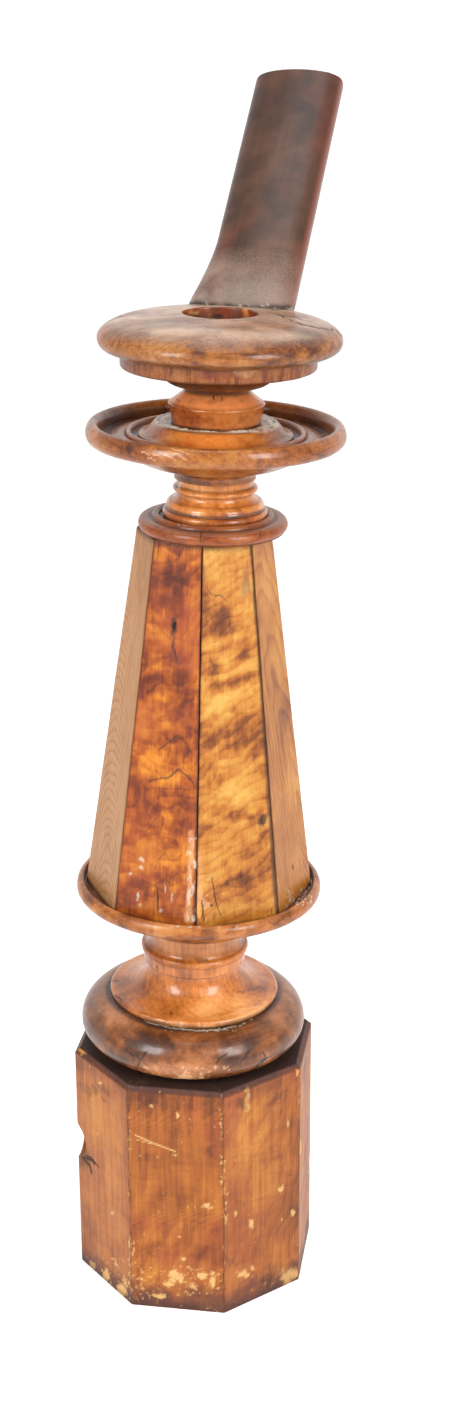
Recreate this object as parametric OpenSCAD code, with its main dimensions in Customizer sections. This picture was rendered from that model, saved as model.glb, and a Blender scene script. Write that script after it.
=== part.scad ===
// Octagonal-shafted stair newel post with a broken-off length of handrail.
// Turned mouldings stacked on a boarded octagonal plinth, a coopered tapering
// shaft, and a round cap that carries the foot of the rail.
// Millimetres, +Z up. Origin: middle of the plinth's underside.

/* [Plinth] */
// Width of the octagonal plinth across its flats
plinth_flats = 254; // [220:1:300]
// Height of the plinth
plinth_h = 278.5; // [220:0.5:330]
// Thickness of each mitred plinth board
board_t = 30; // [24:1:32]
// Bevel along the top outer edge of the boards
board_bevel = 5.5; // [1:0.5:6]
// Diameter of the broken bore in the side of the plinth
bite_d = 48; // [30:1:56]
// Height of the middle of that bore
bite_z = 161; // [80:1:200]
// Distance of the bore from the middle of its board
bite_off = 41; // [38:1:44]

/* [Base mouldings] */
// Outside radius of the big cushion moulding
cushion_r = 124.8; // [118:0.2:127]
// Height of the cushion moulding
cushion_h = 57; // [50:0.5:70]
// How far the rounded edge of the cushion reaches in from its outside
cushion_roll = 36; // [28:1:42]
// Radius of the spreading foot of the lower neck
flare_r = 93.4; // [86:0.2:98]
// Radius of the lower neck at its bead
lower_bead_r = 59.3; // [56:0.1:62]
// Radius of the lower neck at its waist
lower_neck_r = 51.5; // [48:0.1:54]

/* [Lower dish] */
// Outside radius of the dish that seats the shaft
lower_dish_r = 133.7; // [130:0.1:138]
// Radius of the seat for the shaft
seat_r = 125.2; // [125:0.1:127]
// Depth of the seat
seat_depth = 8.5; // [5:0.5:10]

/* [Shaft] */
// Corner radius of the shaft at its foot
shaft_foot_r = 124; // [116:0.2:124.4]
// Corner radius of the shaft at its head
shaft_head_r = 70.2; // [60:0.1:72]
// Thickness of the staves
stave_t = 22; // [14:1:30]
// Open gap between neighbouring staves
stave_gap = 1.2; // [0.4:0.1:2]
// Angle of the first stave joint, from +X toward +Y
shaft_turn = 8; // [0:0.5:20]

/* [Upper mouldings] */
// Outside radius of the disc that closes the shaft
head_disc_r = 77.2; // [74:0.1:82]
// Radius of the upper neck at its waist
upper_neck_r = 39.4; // [36:0.1:42]
// Outside radius of the upper dish
upper_dish_r = 132.5; // [126:0.1:136]
// Radius of the collar at its upper edge
collar_r = 49.3; // [46:0.1:52]
// Outside radius of the ring under the cap
ring_r = 99.2; // [94:0.1:102]

/* [Cap] */
// Outside radius of the round cap
cap_r = 123.2; // [116:0.2:128]
// Radius of the flat-bottomed hole in the top of the cap
hole_r = 37.5; // [34:0.1:38]
// Depth of that hole
hole_depth = 16; // [12:0.5:20]

/* [Handrail] */
// Width of the handrail
rail_w = 97; // [90:1:102]
// Rise of the rounded top above the widest line of the rail
rail_crown = 19; // [16:0.5:24]
// Depth of the rail below its widest line
rail_belly = 30; // [24:1:34]
// Slope of the rail, degrees above level
rail_slope = 44; // [40:1:50]
// How far the foot of the rail flares out on its low side
rail_flare = 12.5; // [0:1:14]
// Length left on the rail, along its slope, from the foot to the sawn end
rail_len = 297; // [240:1:320]

/* [Leaning stack] */
// Direction in which the stack leans and has slipped, degrees from +X toward +Y
lean_dir = 8.5; // [0:0.5:20]
// Lean of everything above the plinth, degrees
lean = 1.3; // [0:0.1:2]
// Slip of the cushion moulding, against the lean
slip_cushion = -2; // [-4:0.5:2]
// Slip of the lower neck
slip_lower_neck = -1.5; // [-3:0.5:2]
// Slip of the lower dish
slip_lower_dish = 2; // [0:0.5:4]
// Slip of the foot of the shaft
slip_shaft_foot = 2; // [1:0.5:3]
// Slip of the head of the shaft
slip_shaft_head = 2; // [1:0.5:4]
// Slip of the disc that closes the shaft
slip_head_disc = 11; // [4:0.5:12]
// Slip of the upper neck
slip_upper_neck = 13; // [6:0.5:14]
// Slip of the upper dish and its collar
slip_upper_dish = 12.5; // [6:0.5:14]
// Slip of the ring and the cap
slip_cap = 15; // [8:0.5:16]

/* [Hidden] */
$fn = 128;
apothem = plinth_flats / 2;
half_face = apothem * tan(22.5);
inner_ap = apothem - board_t;
z_cushion = plinth_h;
z_neck = z_cushion + cushion_h;
z_dish = z_neck + 83.5;
z_seat = z_dish + 48;
z_lip = z_seat + seat_depth;
z_head = 867.6;
z_upper = 881;
z_updish = 922;
z_collar = 979;
z_ring = 1012.5;
z_cap = 1052.5;
cap_h = 36.8;
z_top = z_cap + cap_h;
rail_heading = 83.2;
rail_foot = [49.5, 92.5, 1088];

// ---- helpers -------------------------------------------------------------

// Points along an elliptical arc in the (radius, height) plane.
function arc(cr, cz, a, b, t0, t1, n = 10) =
  [for (i = [0:n]) let (t = t0 + (t1 - t0) * i / n) [cr + a * cos(t), cz + b * sin(t)]];

// Points along an S-shaped moulding line from p to q.
function ogee(p, q, n = 10) =
  [for (i = [0:n]) let (u = i / n, s = (1 - cos(180 * u)) / 2)
    [p[0] + (q[0] - p[0]) * u, p[1] + (q[1] - p[1]) * s]];

// A turned piece: profile given as (radius, height) points from its lower
// face up to its upper face; both faces are closed to the axis.
module turned(profile) {
  rotate_extrude()
    polygon(concat([[0, profile[0][1]]], profile, [[0, profile[len(profile) - 1][1]]]));
}

// Puts a piece in the leaning stack, moved sideways by its slip. The stack
// leans about the middle of the plinth's top.
module slipped(s) {
  translate([0, 0, plinth_h])
    rotate([0, 0, lean_dir])
      rotate([0, lean, 0])
        translate([s, 0, -plinth_h]) children();
}

// ---- plinth --------------------------------------------------------------

// One mitred board, outer face toward azimuth az.
module board(az) {
  rotate([0, 0, az])
    difference() {
      linear_extrude(height = plinth_h)
        polygon([
          [inner_ap, -inner_ap * tan(22.5)], [apothem, -half_face],
          [apothem, half_face], [inner_ap, inner_ap * tan(22.5)]
        ]);
      translate([apothem, 0, plinth_h])
        rotate([0, 45, 0])
          cube([board_bevel * sqrt(2), 2 * half_face + 20, board_bevel * sqrt(2)], center = true);
    }
}

// The bore that has broken out through a corner of the plinth.
module bite() {
  translate([-apothem - 10, -bite_off, bite_z])
    rotate([0, 90, 0]) cylinder(h = board_t + 25, d = bite_d);
}

module plinth_board(i) {
  color([0.55, 0.28, 0.15]) board(-90 + 45 * (i - 1));
}

module bored_board(i) {
  color([0.55, 0.28, 0.15])
    difference() {
      board(-90 + 45 * (i - 1));
      bite();
    }
}

// ---- base mouldings ------------------------------------------------------

module base_cushion() {
  mid = 25.5;
  color([0.42, 0.2, 0.1])
    difference() {
      slipped(slip_cushion)
        translate([0, 0, z_cushion])
          turned(concat(
            [[cushion_r - cushion_roll + 2, -4]],
            arc(cushion_r - cushion_roll, mid, cushion_roll, mid + 1, -80, 0, 10),
            arc(cushion_r - cushion_roll, mid, cushion_roll, cushion_h - mid, 8, 90, 10)
          ));
      // cut level where it stands on the boards
      translate([-200, -200, z_cushion - 20]) cube([400, 400, 20]);
    }
}

module lower_neck() {
  color([0.72, 0.38, 0.14])
    slipped(slip_lower_neck) translate([0, 0, z_neck])
      turned(concat(
        // rounded edge of the spreading foot
        [[flare_r - 2, 0]], arc(flare_r - 3.5, 4, 3.5, 3.8, -50, 90, 5),
        // long cove up to the waist
        arc(flare_r - 3.5, 40.5, flare_r - 3.5 - lower_neck_r, 32.7, 270, 180, 12),
        // fillet, band, bead
        [[lower_neck_r + 4.4, 41.4], [lower_neck_r + 4.4, 53.4], [lower_bead_r - 0.6, 54]],
        arc(lower_bead_r - 3, 57.5, 3, 3.5, -50, 90, 5),
        // cove above the bead
        arc(lower_bead_r - 3, 71, lower_bead_r - 3 - lower_neck_r, 10, 270, 180, 5),
        [[lower_neck_r, 83.5]]
      ));
}

module lower_dish() {
  lip_r = (lower_dish_r - seat_r) / 2;
  color([0.5, 0.26, 0.12])
    slipped(slip_lower_dish)
      translate([0, 0, z_dish])
        difference() {
          turned(concat(
            [[lower_neck_r + 3, 0]],
            ogee([lower_neck_r + 5, 3], [lower_dish_r - 16, 38.5], 10),
            arc(lower_dish_r - 10, 47, 10, 8, -75, 0, 6),
            arc(lower_dish_r - 6.5, 47, 6.5, 9.5, 8, 90, 8)
          ));
          translate([0, 0, 48]) cylinder(h = 20, r = seat_r);
        }
}

// ---- shaft ---------------------------------------------------------------

function slip_at(k) = slip_shaft_foot + (slip_shaft_head - slip_shaft_foot) * k;

// Corner of a stave: k = 0 foot, 1 head; side = -1 or 1; inner or outer.
function stave_pt(az, side, k, inner) =
  let (
    ap = (shaft_foot_r + (shaft_head_r - shaft_foot_r) * k) * cos(22.5) - (inner ? stave_t : 0),
    y = side * (ap * tan(22.5) - stave_gap / 2 / cos(22.5))
  )
  [ap * cos(az) - y * sin(az) + slip_at(k), ap * sin(az) + y * cos(az),
   z_seat + (z_head - z_seat) * k];

module stave(i, c) {
  az = shaft_turn - lean_dir - 22.5 + 45 * (i - 4);
  color(c)
    slipped(0) polyhedron(
      points = [
        stave_pt(az, -1, 0, false), stave_pt(az, 1, 0, false),
        stave_pt(az, 1, 0, true), stave_pt(az, -1, 0, true),
        stave_pt(az, -1, 1, false), stave_pt(az, 1, 1, false),
        stave_pt(az, 1, 1, true), stave_pt(az, -1, 1, true)
      ],
      faces = [[0, 1, 2, 3], [7, 6, 5, 4], [4, 5, 1, 0], [5, 6, 2, 1], [6, 7, 3, 2], [7, 4, 0, 3]]
    );
}

// ---- upper mouldings -----------------------------------------------------

module head_disc() {
  h = z_upper - z_head;
  color([0.55, 0.33, 0.2])
    slipped(slip_head_disc)
      translate([0, 0, z_head])
        turned(concat(
          [[head_disc_r - 3, 0]],
          arc(head_disc_r - 6, h / 2, 6, h / 2, -75, 90, 8),
          [[head_disc_r - 14, h]]
        ));
}

module upper_neck() {
  color([0.7, 0.36, 0.14])
    slipped(slip_upper_neck)
      translate([0, 0, z_upper])
        turned(concat(
          [[51.5, 0]],
          // half-round at the foot
          arc(50.2, 5.2, 4.1, 4.2, -75, 90, 8),
          // fillet, then the swelling sweep in to the waist
          [[50.9, 9.4], [50.9, 12]],
          arc(upper_neck_r + 4, 13, 7, 6.5, 0, 70, 5),
          arc(upper_neck_r + 6.4, 26, 6.4, 6.9, 270, 180, 5),
          // bead, fillet and short top
          [[upper_neck_r, 27], [upper_neck_r + 1.4, 27.6]],
          arc(upper_neck_r + 1, 30.6, 3.3, 3, -80, 80, 6),
          [[upper_neck_r + 0.2, 34.5], [upper_neck_r + 0.2, z_updish - z_upper]]
        ));
}

module upper_dish() {
  b = z_updish;
  color([0.52, 0.3, 0.13])
    slipped(slip_upper_dish)
      turned(concat(
        // underside: boss, then the spreading underside
        [[upper_neck_r + 2.6, b], [upper_neck_r + 2.6, b + 3]],
        arc(upper_neck_r + 2.6 + 14, b + 3, 14, 11.5, 180, 90, 6),
        ogee([upper_neck_r + 21, b + 14.8], [upper_dish_r - 13, 957.5], 10),
        // rolled lip
        arc(upper_dish_r - 7.2, 967.5, 7.2, 9, -80, 0, 8),
        arc(upper_dish_r - 7.2, 967.5, 7.2, 11.5, 8, 172, 12),
        // floor and its raised rings
        [[117.8, 963.5], [108, 963], [107.4, 965.2], [101, 967], [94.2, 967.4]],
        arc(89.4, 967.2, 3.6, 4, 0, 180, 6),
        [[85, 964.5], [79.5, 964], [79, 967.5]],
        ogee([76.5, 968.5], [60, 979.5], 8),
        [[58, 979]]
      ));
}

module collar() {
  color([0.72, 0.36, 0.14])
    slipped(slip_upper_dish + 0.3)
      translate([0, 0, z_collar])
        turned([
          [45.4, 0], [46.2, 6], [47.2, 12], [48.4, 17], [collar_r, 19.6], [collar_r - 0.6, 20.8],
          [44.4, 23.8], [39.6, 27.4], [35.4, 30.8], [32.2, z_ring - z_collar]
        ]);
}

module cap_ring() {
  color([0.62, 0.3, 0.16])
    slipped(slip_cap - 1)
      translate([0, 0, z_ring])
        turned(concat(
          [[32.2, 0], [32.2, 2.2], [34.6, 3.6]],
          arc(34.6, 19, 23.6, 15.4, -90, 0, 8),
          [[58.2, 23]],
          [[ring_r - 1.2, 23], [ring_r, 24.6], [ring_r + 0.4, z_cap - z_ring]]
        ));
}

module cap_body() {
  slipped(slip_cap)
    translate([0, 0, z_cap])
      turned(concat(
        [[cap_r - 14, 0]],
        arc(cap_r - 13, 11, 13, 11.5, -80, 0, 8),
        arc(cap_r - 50, 11, 50, 21.6, 8, 74, 12),
        [[58, 34.3], [48, 35.8], [40.5, 36.6], [39.6, 36.8]]
      ));
}

module cap() {
  color([0.55, 0.33, 0.17])
    difference() {
      cap_body();
      slipped(slip_cap)
        translate([0, 0, z_top - hole_depth]) cylinder(h = hole_depth + 10, r = hole_r);
    }
}

// ---- handrail ------------------------------------------------------------

// Section of the rail: x across, y toward the rounded top.
function rail_section() = concat(
  [for (t = [0:12:180]) [rail_w / 2 * cos(t), rail_crown * pow(sin(t), 0.86)]],
  [for (t = [192:12:348])
    [rail_w / 2 * (cos(t) < 0 ? -1 : 1) * pow(abs(cos(t)), 0.55), rail_belly * sin(t)]]
);

// A thin slice of the rail, s along it and moved sideways by d.
module rail_slice(s, d) {
  translate([0, 0, s])
    linear_extrude(height = 0.5)
      rotate([0, 0, 90]) translate([d, 0]) polygon(rail_section());
}

module handrail() {
  color([0.3, 0.13, 0.1])
    difference() {
      // the rounded top of the rail looks back over the cap
      translate(rail_foot)
        rotate([0, 0, rail_heading])
          rotate([0, 90 - rail_slope, 0]) {
            translate([0, 0, -60])
              linear_extrude(height = rail_len + 60)
                rotate([0, 0, 90]) polygon(rail_section());
            // easing: the low side spreads as it nears the cap
            hull() { rail_slice(-55, rail_flare * 2.0); rail_slice(0, rail_flare * 1.04); }
            hull() { rail_slice(0, rail_flare * 1.04); rail_slice(32, rail_flare * 0.47); }
            hull() { rail_slice(32, rail_flare * 0.47); rail_slice(74, 0); }
          }
      // coped over the top of the cap
      cap_body();
      // nothing hangs below the cap's rounded edge
      translate([0, 0, z_cap - 100]) cylinder(h = 112, r = 400);
      // plumb-cut heel behind the cap
      slipped(slip_cap)
        rotate([0, 0, rail_heading])
          translate([112, -200, z_cap - 100]) cube([200, 400, 128]);
    }
}

// ---- assembly ------------------------------------------------------------

plinth_board(1);  // plinth_board_1
plinth_board(2);  // plinth_board_2
plinth_board(3);  // plinth_board_3
plinth_board(4);  // plinth_board_4
plinth_board(5);  // plinth_board_5
plinth_board(6);  // plinth_board_6
bored_board(7);  // plinth_board_7
bored_board(8);  // plinth_board_8
base_cushion();
lower_neck();
lower_dish();
stave(1, [0.85, 0.6, 0.4]);  // shaft_stave_1
stave(2, [0.66, 0.3, 0.1]);  // shaft_stave_2
stave(3, [0.82, 0.5, 0.18]);  // shaft_stave_3
stave(4, [0.8, 0.52, 0.3]);  // shaft_stave_4
stave(5, [0.75, 0.45, 0.22]);  // shaft_stave_5
stave(6, [0.7, 0.38, 0.16]);  // shaft_stave_6
stave(7, [0.78, 0.5, 0.26]);  // shaft_stave_7
stave(8, [0.68, 0.36, 0.16]);  // shaft_stave_8
head_disc();
upper_neck();
upper_dish();
collar();
cap_ring();
cap();
handrail();
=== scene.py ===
import math

import bpy
import numpy as np
from mathutils import Matrix, Vector


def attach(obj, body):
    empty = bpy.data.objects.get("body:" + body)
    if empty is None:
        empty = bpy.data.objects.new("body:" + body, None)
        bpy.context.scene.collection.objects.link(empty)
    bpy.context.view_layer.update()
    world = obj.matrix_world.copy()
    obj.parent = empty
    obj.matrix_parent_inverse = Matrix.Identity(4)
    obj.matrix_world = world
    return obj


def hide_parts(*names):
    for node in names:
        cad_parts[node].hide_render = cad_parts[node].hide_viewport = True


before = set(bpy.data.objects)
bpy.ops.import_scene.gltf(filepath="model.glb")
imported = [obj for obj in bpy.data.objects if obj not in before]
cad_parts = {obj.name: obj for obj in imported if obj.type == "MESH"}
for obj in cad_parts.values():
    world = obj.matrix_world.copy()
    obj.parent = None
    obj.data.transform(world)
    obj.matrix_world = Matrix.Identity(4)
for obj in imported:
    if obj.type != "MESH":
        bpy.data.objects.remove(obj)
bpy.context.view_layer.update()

# ---------------------------------------------------------------------------
# Camera: placed by the fitted view, in the row frame (millimetres here).
# ---------------------------------------------------------------------------
CAM = np.array([349.65, -1988.7, 1405.2])
HEAD = math.radians(-8.9476)
PITCH = math.radians(19.8002)
ROLL = math.radians(-0.2747)
FPX = 2017.3  # focal length for a picture 450 x 1401

_fwd = np.array([math.sin(HEAD) * math.cos(PITCH), math.cos(HEAD) * math.cos(PITCH), -math.sin(PITCH)])
_right = np.array([math.cos(HEAD), -math.sin(HEAD), 0.0])
_up = np.cross(_right, _fwd)
RIGHT = math.cos(ROLL) * _right + math.sin(ROLL) * _up
UP = -math.sin(ROLL) * _right + math.cos(ROLL) * _up
FWD = _fwd


def to_px(V):
    """Row-frame points in mm to positions in the 450 x 1401 picture."""
    d = V - CAM
    z = d @ FWD
    return np.stack([225.0 + FPX * (d @ RIGHT) / z, 700.5 - FPX * (d @ UP) / z], 1)


# ---------------------------------------------------------------------------
# Noise (seeded, repeatable)
# ---------------------------------------------------------------------------
def _hash(ix, iy, iz, seed):
    h = (ix * 374761393 + iy * 668265263 + iz * 1103515245 + seed * 1442695041) & 0xFFFFFFFF
    h = ((h ^ (h >> 13)) * 1274126177) & 0xFFFFFFFF
    h = ((h ^ (h >> 16)) * 2246822519) & 0xFFFFFFFF
    return ((h >> 8) & 0xFFFF) / 65535.0


def vnoise(p, seed=0):
    """Value noise in 3-D, -1..1."""
    p = np.asarray(p, float)
    i = np.floor(p).astype(np.int64)
    f = p - i
    f = f * f * f * (f * (f * 6 - 15) + 10)
    out = 0
    for dx in (0, 1):
        wx = f[:, 0] if dx else 1 - f[:, 0]
        for dy in (0, 1):
            wy = f[:, 1] if dy else 1 - f[:, 1]
            for dz in (0, 1):
                wz = f[:, 2] if dz else 1 - f[:, 2]
                out = out + wx * wy * wz * _hash(i[:, 0] + dx, i[:, 1] + dy, i[:, 2] + dz, seed)
    return out * 2 - 1


def fbm(p, seed=0, octaves=4, gain=0.5):
    out, amp, tot = 0, 1.0, 0
    for o in range(octaves):
        out = out + amp * vnoise(p * 2.03 ** o + 17.3 * o, seed + o)
        tot += amp
        amp *= gain
    return out / tot


def smooth(a, b, x):
    t = np.clip((x - a) / (b - a), 0, 1)
    return t * t * (3 - 2 * t)


# ---------------------------------------------------------------------------
# The leaning stack (same numbers as the CAD)
# ---------------------------------------------------------------------------
LEAN_DIR, LEAN, PLINTH_H = math.radians(8.5), math.radians(1.3), 278.5


def stack(V, slip):
    """Stack coordinates (mm, axis on Z) to the row frame."""
    x, y, z = V[:, 0] + slip, V[:, 1], V[:, 2] - PLINTH_H
    c, s = math.cos(LEAN), math.sin(LEAN)
    x, z = c * x + s * z, -s * x + c * z
    c, s = math.cos(LEAN_DIR), math.sin(LEAN_DIR)
    return np.stack([c * x - s * y, s * x + c * y, z + PLINTH_H], 1)


# ---------------------------------------------------------------------------
# Mesh helpers
# ---------------------------------------------------------------------------
class Piece:
    """A mesh under construction: vertices in mm in the row frame, grain
    coordinates in metres, and painted masks."""

    def __init__(self, name, V, faces, grain, slot):
        self.name, self.V, self.faces, self.grain, self.slot = name, V, faces, grain, slot
        self.matname = ""
        self.mask = {k: np.zeros(len(V)) for k in ("dark", "wear_and_sheen", "glue", "crack", "fresh_and_painted_light", "stain_and_sheen", "tone", "red")}
        self.update()

    def update(self):
        self.N = normals(self.V, self.faces)
        self.q = to_px(self.V)
        view = CAM - self.V
        view /= np.linalg.norm(view, axis=1)[:, None]
        self.front = (np.einsum("ij,ij->i", view, self.N) > 0.02).astype(float)

    def push(self, amount):
        self.V = self.V + self.N * amount[:, None]

    # --- painted marks, placed in the front view's 450 x 1401 frame --------
    def line(self, ch, pts, w, k=1.0, jit=0.0, depth=0.0, seed=1, taper=True, add=False):
        q = self.q
        if jit:
            n1 = fbm(self.V * 0.11, seed, 3)
            n2 = fbm(self.V * 0.11 + 50, seed + 7, 3)
            q = q + np.stack([n1, n2], 1) * jit
        best = np.full(len(q), 1e9)
        pos = np.zeros(len(q))
        pts = np.array(pts, float)
        seg = np.linalg.norm(np.diff(pts, axis=0), axis=1)
        cum = np.concatenate([[0], np.cumsum(seg)])
        for i in range(len(pts) - 1):
            a, b = pts[i], pts[i + 1]
            ab = b - a
            t = np.clip(((q - a) @ ab) / (ab @ ab), 0, 1)
            d = np.linalg.norm(q - a - t[:, None] * ab, axis=1)
            m = d < best
            best = np.where(m, d, best)
            pos = np.where(m, (cum[i] + t * seg[i]) / cum[-1], pos)
        ww = w * (np.sqrt(np.clip(np.sin(np.pi * np.clip(pos, 0.02, 0.98)), 0, 1)) if taper else 1.0)
        m = (1 - smooth(0.25, 1.0, best / np.maximum(ww, 1e-6))) * k * self.front
        if depth:
            self._dent(m, depth)
        if add:
            self.mask[ch] = self.mask[ch] + m
        else:
            self.mask[ch] = np.maximum(self.mask[ch], m)
        return m

    def blob(self, ch, c, r, k=1.0, ang=0.0, rag=0.5, freq=0.12, depth=0.0, seed=3, soft=0.45, add=False):
        d = self.q - np.array(c, float)
        a = math.radians(ang)
        x = (d[:, 0] * math.cos(a) + d[:, 1] * math.sin(a)) / r[0]
        y = (-d[:, 0] * math.sin(a) + d[:, 1] * math.cos(a)) / r[1]
        rr = np.hypot(x, y)
        near = rr < 2.6
        if rag:
            n = np.zeros(len(rr))
            n[near] = fbm(self.V[near] * freq, seed, 4)
            rr = rr + rag * n * 1.5
        if ch == "tone":
            m = np.exp(-(rr ** 2) * 0.9) * k * 0.9 * self.front * near
        else:
            m = (1 - smooth(1 - soft, 1 + soft * 0.6, rr)) * k * self.front * near
        if depth:
            self._dent(m, depth)
        if add:
            self.mask[ch] = self.mask[ch] + m
        else:
            self.mask[ch] = np.maximum(self.mask[ch], m)
        return m

    def specks(self, ch, box, density, size, k=1.0, seed=5, aspect=(1.0, 1.0)):
        """Scattered flecks inside a box (x0, y0, x1, y1) of the front view."""
        x0, y0, x1, y1 = box
        inside = (self.q[:, 0] > x0) & (self.q[:, 0] < x1) & (self.q[:, 1] > y0) & (self.q[:, 1] < y1)
        idx = np.nonzero(inside)[0]
        if len(idx) == 0:
            return
        p = self.V[idx] / size
        p[:, 2] *= aspect[1]
        n = fbm(p, seed, 3)
        m = smooth(1 - density, 1 - density + 0.30, n * 1.1 + 0.5) * k * self.front[idx]
        self.mask[ch][idx] = np.maximum(self.mask[ch][idx], m)

    def _dent(self, m, depth):
        self.V = self.V - self.N * (m * depth)[:, None]

    def build(self, mat):
        V = self.V * 0.001
        me = bpy.data.meshes.new(self.name)
        nv = len(V)
        me.vertices.add(nv)
        me.vertices.foreach_set("co", V.astype(np.float32).ravel())
        sizes = np.concatenate([np.full(len(f), f.shape[1]) for f in self.faces])
        loops = np.concatenate([f.ravel() for f in self.faces])
        me.loops.add(len(loops))
        me.loops.foreach_set("vertex_index", loops.astype(np.int32))
        me.polygons.add(len(sizes))
        starts = np.concatenate([[0], np.cumsum(sizes)[:-1]])
        me.polygons.foreach_set("loop_start", starts.astype(np.int32))
        me.polygons.foreach_set("loop_total", sizes.astype(np.int32))
        me.update(calc_edges=True)
        me.validate()
        me.polygons.foreach_set("use_smooth", np.ones(len(me.polygons), bool))
        if len(me.vertices) != nv:
            raise RuntimeError(self.name + ": vertices were dropped")

        def attr(name, data, kind, key):
            a = me.attributes.new(name, kind, "POINT")
            a.data.foreach_set(key, data.astype(np.float32).ravel())

        attr("gc", self.grain, "FLOAT_VECTOR", "vector")
        f = getattr(self, "field", None)
        if f is None:
            f = np.hypot(self.grain[:, 0], self.grain[:, 1]) * RINGS.get(self.matname, 110)
        attr("fld", f, "FLOAT", "value")
        M = self.mask
        z = np.zeros(nv)
        attr("m1", np.stack([M["dark"], M["wear_and_sheen"], M["glue"]], 1), "FLOAT_VECTOR", "vector")
        attr("m2", np.stack([M["crack"], M["fresh_and_painted_light"], M["stain_and_sheen"]], 1), "FLOAT_VECTOR", "vector")
        attr("m3", np.stack([M["tone"], M["red"], z], 1), "FLOAT_VECTOR", "vector")
        o = bpy.data.objects.new(self.name, me)
        bpy.context.scene.collection.objects.link(o)
        me.materials.append(mat)
        self.obj = o
        return o


def normals(V, faces):
    N = np.zeros_like(V)
    for f in faces:
        a, b, c = V[f[:, 0]], V[f[:, 1]], V[f[:, 2]]
        n = np.cross(b - a, c - a)
        if f.shape[1] == 4:
            d = V[f[:, 3]]
            n = np.cross(c - a, d - b)
        for k in range(f.shape[1]):
            for ax in range(3):
                N[:, ax] += np.bincount(f[:, k], weights=n[:, ax], minlength=len(V))
    L = np.linalg.norm(N, axis=1)
    return N / np.maximum(L, 1e-12)[:, None]


def arc(cr, cz, a, b, t0, t1, n=24):
    t = np.radians(np.linspace(t0, t1, n))
    return [(cr + a * math.cos(u), cz + b * math.sin(u)) for u in t]


def ogee(p, q, n=20):
    out = []
    for i in range(n + 1):
        u = i / n
        s = (1 - math.cos(math.pi * u)) / 2
        out.append((p[0] + (q[0] - p[0]) * u, p[1] + (q[1] - p[1]) * s))
    return out


def ease(profile, step=1.0, soft=0.9, cover=0.0):
    """Points along a profile, with its corners eased: fewer on undersides, and
    on the last flat inside the radius that the next piece covers."""
    P = np.array(profile, float)
    keep = np.concatenate([[True], np.linalg.norm(np.diff(P, axis=0), axis=1) > 1e-6])
    P = P[keep]
    L = np.concatenate([[0], np.cumsum(np.linalg.norm(np.diff(P, axis=0), axis=1))])
    n = max(4, int(L[-1] / 0.25))
    s = np.linspace(0, L[-1], n)
    Q = np.stack([np.interp(s, L, P[:, 0]), np.interp(s, L, P[:, 1])], 1)
    k = max(1, int(soft / 0.25))
    if k > 1:
        ker = np.hanning(k + 2)[1:-1]
        ker /= ker.sum()
        pad = k
        ext = np.concatenate([2 * Q[0] - Q[pad:0:-1], Q, 2 * Q[-1] - Q[-2 : -pad - 2 : -1]])
        S = np.stack([np.convolve(ext[:, i], ker, "same") for i in (0, 1)], 1)
        Q = S[pad : pad + n]
        Q[0], Q[-1] = P[0], P[-1]
    # denser where it bends
    T = np.diff(Q, axis=0)
    ang = np.unwrap(np.arctan2(T[:, 1], T[:, 0]))
    bend = np.abs(np.gradient(ang)) if len(ang) > 2 else np.zeros(len(ang))
    f = np.ones(len(T))
    under = T[:, 0] > 1e-9
    f[under & (np.abs(T[:, 1]) < 0.8 * T[:, 0])] = 0.7
    f[under & (np.abs(T[:, 1]) < 0.2 * T[:, 0])] = 0.35
    f[(0.5 * (s[1:] + s[:-1]) > L[-2]) & (0.5 * (Q[1:, 0] + Q[:-1, 0]) < cover)] = 0.25
    w = np.linalg.norm(T, axis=1) / step * f * 0.82 + bend * 1.9
    c = np.concatenate([[0], np.cumsum(w)])
    m = max(4, int(c[-1]))
    u = np.linspace(0, c[-1], m)
    return np.stack([np.interp(u, c, Q[:, 0]), np.interp(u, c, Q[:, 1])], 1)


FRONT_AZ = math.radians(-80.0)


def thetas(n_front, n_back):
    """Columns round a turned piece: finer on the side that faces the front."""
    h = math.radians(100)
    t = np.linspace(-h, h, 2001)
    dens = np.maximum(np.cos(t), 0.35)
    c = np.concatenate([[0], np.cumsum(0.5 * (dens[1:] + dens[:-1]))])
    a = np.interp(np.linspace(0, c[-1], int(n_front * 0.62), endpoint=False), c, t)
    b = np.linspace(h, 2 * math.pi - h, int(n_back * 0.42), endpoint=False)
    return np.concatenate([a, b]) + FRONT_AZ - LEAN_DIR


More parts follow.
